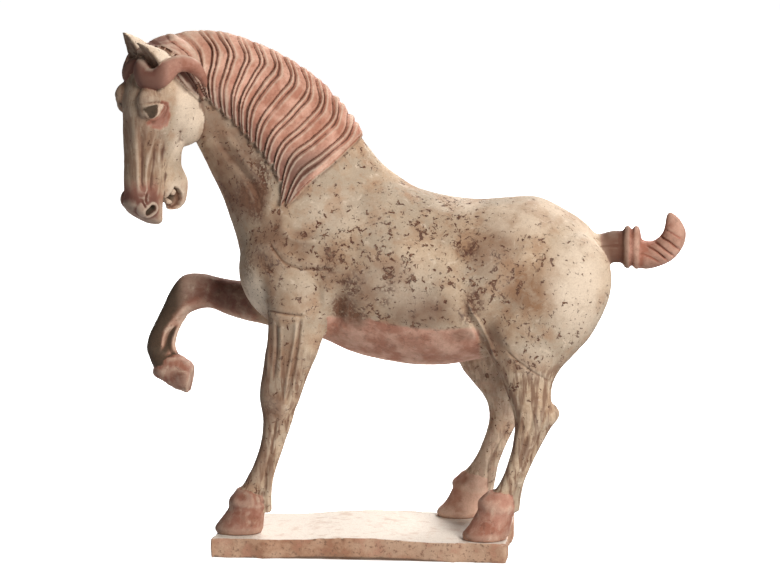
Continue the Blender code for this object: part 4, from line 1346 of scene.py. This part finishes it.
def slipped_pottery():
    """Cream slip over earthenware, flaked and stained, with red on mane, tail, belly and hooves, painted
    shade in grooves, hollows and openings, and painted light on ridges and undersides.
    """
    paint = Finish(bpy.data.materials.new("worn slip and red paint"))
    between, times, plus = paint.between, paint.times, paint.plus
    broad = paint.noise(60)
    middling = paint.noise(24)
    patch = paint.noise(9, 4, 0.62, 0.5)
    chip = paint.noise(5.3, 3, 0.6, 0.6)
    speck = paint.noise(2.8, 3, 0.6)
    grain = paint.noise(1.5, 3, 0.7)
    streak = paint.noise(4, drawn_out=8)
    shade = plus(between(middling, 0.38, 0.62, 0, 0.8), between(patch, 0.4, 0.6, 0, 0.4))
    red_clay = paint.coats(RED_PAINT, (shade, RED_DEEP), ("dusk", DUSKY_ROSE))
    red = between(plus("red", times(patch, 0.6)), 0.52, 1.0)
    cluster = times(middling, 0.24)
    flaked = plus(plus(chip, times("wear", 0.085)), cluster)
    pin = between(plus(speck, times(broad, 0.2)), 0.78, 0.80)
    dark = times("dark", between(speck, 0.44, 0.52))
    near_edge = paint.math("ABSOLUTE", paint.math("SUBTRACT", plus(speck, cluster), 0.70))
    lifted = times(between(near_edge, 0.016, 0.008), between(flaked, 0.68, 0.74))
    flake = between(flaked, 0.773, 0.786)
    for other in (pin, dark, lifted):
        flake = paint.math("MAXIMUM", flake, other)
    flake = times(flake, paint.math("SUBTRACT", 1.0, times(red, 0.75)))
    clay = paint.coats(
        BARE_CLAY,
        (between(flaked, 0.80, 0.87, 0, 0.5), TAN),
        (between(speck, 0.42, 0.54, 0.2, 0.9), DARK_CLAY_AND_GROOVE_SHADE))
    colour = paint.coats(
        CREAM,
        (between(broad, 0.38, 0.60), GREY_CREAM),
        (between(middling, 0.47, 0.66, 0, 0.75), TAN),
        (between(patch, 0.50, 0.66, 0, 0.45), TAN),
        (between(patch, 0.42, 0.28, 0, 0.6), WHITE_SLIP_AND_PAINTED_LIGHT),
        (times("rust", between(patch, 0.36, 0.58, 0.55, 1.0)), RUST),
        # Grime, partly painted shade
        (times("grime", between(middling, 0.35, 0.60, 0.65, 1.0)), GRIME_AND_SHADE),
        (times("runs", between(streak, 0.42, 0.60)), GRIME_AND_SHADE),
        (red, red_clay),
        # Paler slip, and in places painted light
        (times("pale", between(middling, 0.64, 0.42, 0.4, 1.0)), WHITE_SLIP_AND_PAINTED_LIGHT),
        (flake, clay),
        # Painted shade: grooves darkened by how deep they sink, where carving is painted
        (times(between("groove", 0.15, 0.95), "carved"), DARK_CLAY_AND_GROOVE_SHADE),
        # Painted shade: broad hollows darkened
        (between("hollow", 0.15, 1.0, 0.0, 0.55), GRIME_AND_SHADE),
        # Bare clay, and painted shade where it stands in the ear's hollow
        (times("bare", between(patch, 0.30, 0.55, 0.6, 1.0)), BARE_CLAY),
        # Painted highlight on ridges that stand proud, partly worn slip
        (times(between("groove", -0.1, -0.9, 0.0, 0.45), "carved"), WHITE_SLIP_AND_PAINTED_LIGHT),
        ("ivory", IVORY),
        # Black paint on the eyes, and painted shade in the deep mouth, the nostrils and the ear's hollow
        ("black", NEARLY_BLACK),
        (between(grain, 0.35, 0.7, 0.0, 0.18), BARE_CLAY))
    height = paint.math("SUBTRACT", times(grain, 0.5), flake)
    return paint.use(colour, between(patch, 0.3, 0.7, 0.74, 0.92), height)


def plate_pottery():
    """Pinkish tan earthenware with traces of pale slip, worn along the edges; its top faces are paler,
    partly slip and partly painted light.
    """
    paint = Finish(bpy.data.materials.new("worn plate clay"))
    between, times = paint.between, paint.times
    broad = paint.noise(60)
    patch = paint.noise(12, 4, 0.6)
    speck = paint.noise(3, 4, 0.65)
    grain = paint.noise(1.4, 3, 0.7)
    dirt_seen = paint.math("SUBTRACT", 1.0, times("top", 0.8))
    colour = paint.coats(
        PLATE_TAN,
        (between(patch, 0.4, 0.6), PLATE_BROWN),
        (between(broad, 0.4, 0.6, 0, 0.6), PLATE_BUFF),
        (between(patch, 0.50, 0.66, 0, 0.45), PLATE_BLUSH),
        # Top faces paler, partly slip and partly painted light
        (times("top", between(patch, 0.30, 0.5, 0.55, 1.0)), PLATE_SLIP_AND_TOP_LIGHT),
        (times(between(speck, 0.57, 0.63, 0, 0.85), dirt_seen), PLATE_DIRT),
        (between(grain, 0.3, 0.7, 0.0, 0.2), PLATE_DIRT))
    height = paint.plus(speck, times(grain, 0.5))
    return paint.use(colour, between(patch, 0.3, 0.7, 0.75, 0.95), height)


def finish_piece(piece, material, node):
    """Give a piece its finish and its place in the frame."""
    piece.data.materials.clear()
    piece.data.materials.append(material)
    make_active(piece)
    bpy.ops.object.shade_smooth()
    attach(piece, "root")
    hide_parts(node)


def make_horse():
    """The horse in metres, on its soles."""
    figure = build_figure()
    paint_figure(figure)
    figure.data.transform(Matrix.Translation((0, 0, SOLE_HEIGHT)) @ Matrix.Scale(MM, 4))
    finish_piece(figure, slipped_pottery(), "horse")


def make_plate():
    """The plate, from its solid, with uneven faces and crumbled edges."""
    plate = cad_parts["plate"].copy()
    plate.data = plate.data.copy()
    plate.name = "worn_plate"
    for key in list(plate.keys()):
        del plate[key]
    plate.parent = None
    bpy.context.scene.collection.objects.link(plate)
    apply_modifier(plate, "WELD", merge_threshold=0.00001)
    apply_modifier(plate, "REMESH", mode="VOXEL", voxel_size=PLATE_VOXEL, adaptivity=0.0)
    apply_modifier(plate, "SMOOTH", factor=0.5, iterations=2)
    places, normals = points_of(plate)
    lumps = places / MM
    depth, size, seed = PLATE_CHIPS
    at_edge = np.abs(normals).max(axis=1) < FLAT_FACE
    chips = depth * grow(clay_noise(lumps, size, seed), *CHIPPED) * at_edge
    height = lumpy(lumps, *PLATE_LUMPS) - chips
    height = np.where(normals[:, 2] > 0.7, np.minimum(height, -TOP_INSET), height)
    places = places + normals * ((height - PLATE_INSET) * MM)[:, None]
    places[:, 2] = np.maximum(places[:, 2], 0.0)
    set_points(plate, places)
    ratio = PLATE_TRIANGLES / (2 * len(plate.data.polygons))
    apply_modifier(plate, "DECIMATE", ratio=min(1.0, ratio), use_collapse_triangulate=True)
    normals = points_of(plate)[1]
    # Where the plate faces up, which its material makes paler, partly as painted light
    store(plate, "top", grow(normals[:, 2], 0.8, 0.98))
    finish_piece(plate, plate_pottery(), "plate")


def aim(thing, target):
    """Turn a light or camera to a place."""
    direction = Vector(target) - thing.location
    thing.rotation_euler = direction.to_track_quat("-Z", "Y").to_euler()


def soft_light(name, place, size, power, colour):
    """A square soft light aimed at the figure."""
    lamp = bpy.data.lights.new(name, "AREA")
    lamp.size = size
    lamp.energy = power
    lamp.color = colour
    light = bpy.data.objects.new(name, lamp)
    light.location = place
    bpy.context.scene.collection.objects.link(light)
    aim(light, LIGHT_AIM)


def light_from_table(world):
    """Surrounding light, brighter from below, as a white table throws it back."""
    sky = Finish(world)
    upward = sky.add("SeparateXYZ", sky.place("Generated")).outputs["Z"]
    strength = sky.between(upward, 0.3, -0.3, SKY_LIGHT, TABLE_LIGHT, curve="LINEAR")
    sky.feed(sky.tree.nodes["Background"], Color=WHITE, Strength=strength)


def white_floor():
    """The floor's white, with its own light left out under the plate."""
    floor = Finish(bpy.data.materials.new("white floor"))
    low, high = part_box("plate")
    offset = floor.add("VectorMath", floor.place(), (low + high) / 2, operation="SUBTRACT").outputs[0]
    parts = floor.add("SeparateXYZ", floor.add("VectorMath", offset, operation="ABSOLUTE").outputs[0])
    inner, outer = GLOW_EDGE
    outside = 0.0
    for axis, reach in zip("XY", (high - low) / 2):
        past_edge = floor.between(parts.outputs[axis], reach - inner, reach - outer, curve="LINEAR")
        outside = floor.math("MAXIMUM", outside, past_edge)
    glow = floor.times(outside, FLOOR_GLOW)
    shader = floor.tree.nodes["Principled BSDF"]
    floor.feed(shader, Base_Color=FLOOR_WHITE, Roughness=0.9, Emission_Color=WHITE, Emission_Strength=glow)
    return floor.owner


def make_stage():
    """A white floor, soft studio light and the camera."""
    scene = bpy.context.scene
    camera = bpy.data.objects.new("camera", bpy.data.cameras.new("camera"))
    camera.data.lens = CAMERA_LENS
    camera.location = CAMERA_PLACE
    camera.data.clip_end = CAMERA_RANGE
    scene.collection.objects.link(camera)
    aim(camera, CAMERA_AIM)
    scene.camera = camera
    scene.view_settings.view_transform = "Standard"
    deselect_all()
    bpy.ops.mesh.primitive_circle_add(vertices=96, radius=FLOOR_RADIUS, fill_type="NGON")
    floor = bpy.context.object
    floor.name = "studio_floor"
    floor.data.materials.append(white_floor())
    floor.visible_diffuse = False
    scene.world = bpy.data.worlds.new("studio")
    light_from_table(scene.world)
    for light in LIGHTS:
        soft_light(*light)


make_stage()
make_horse()
make_plate()
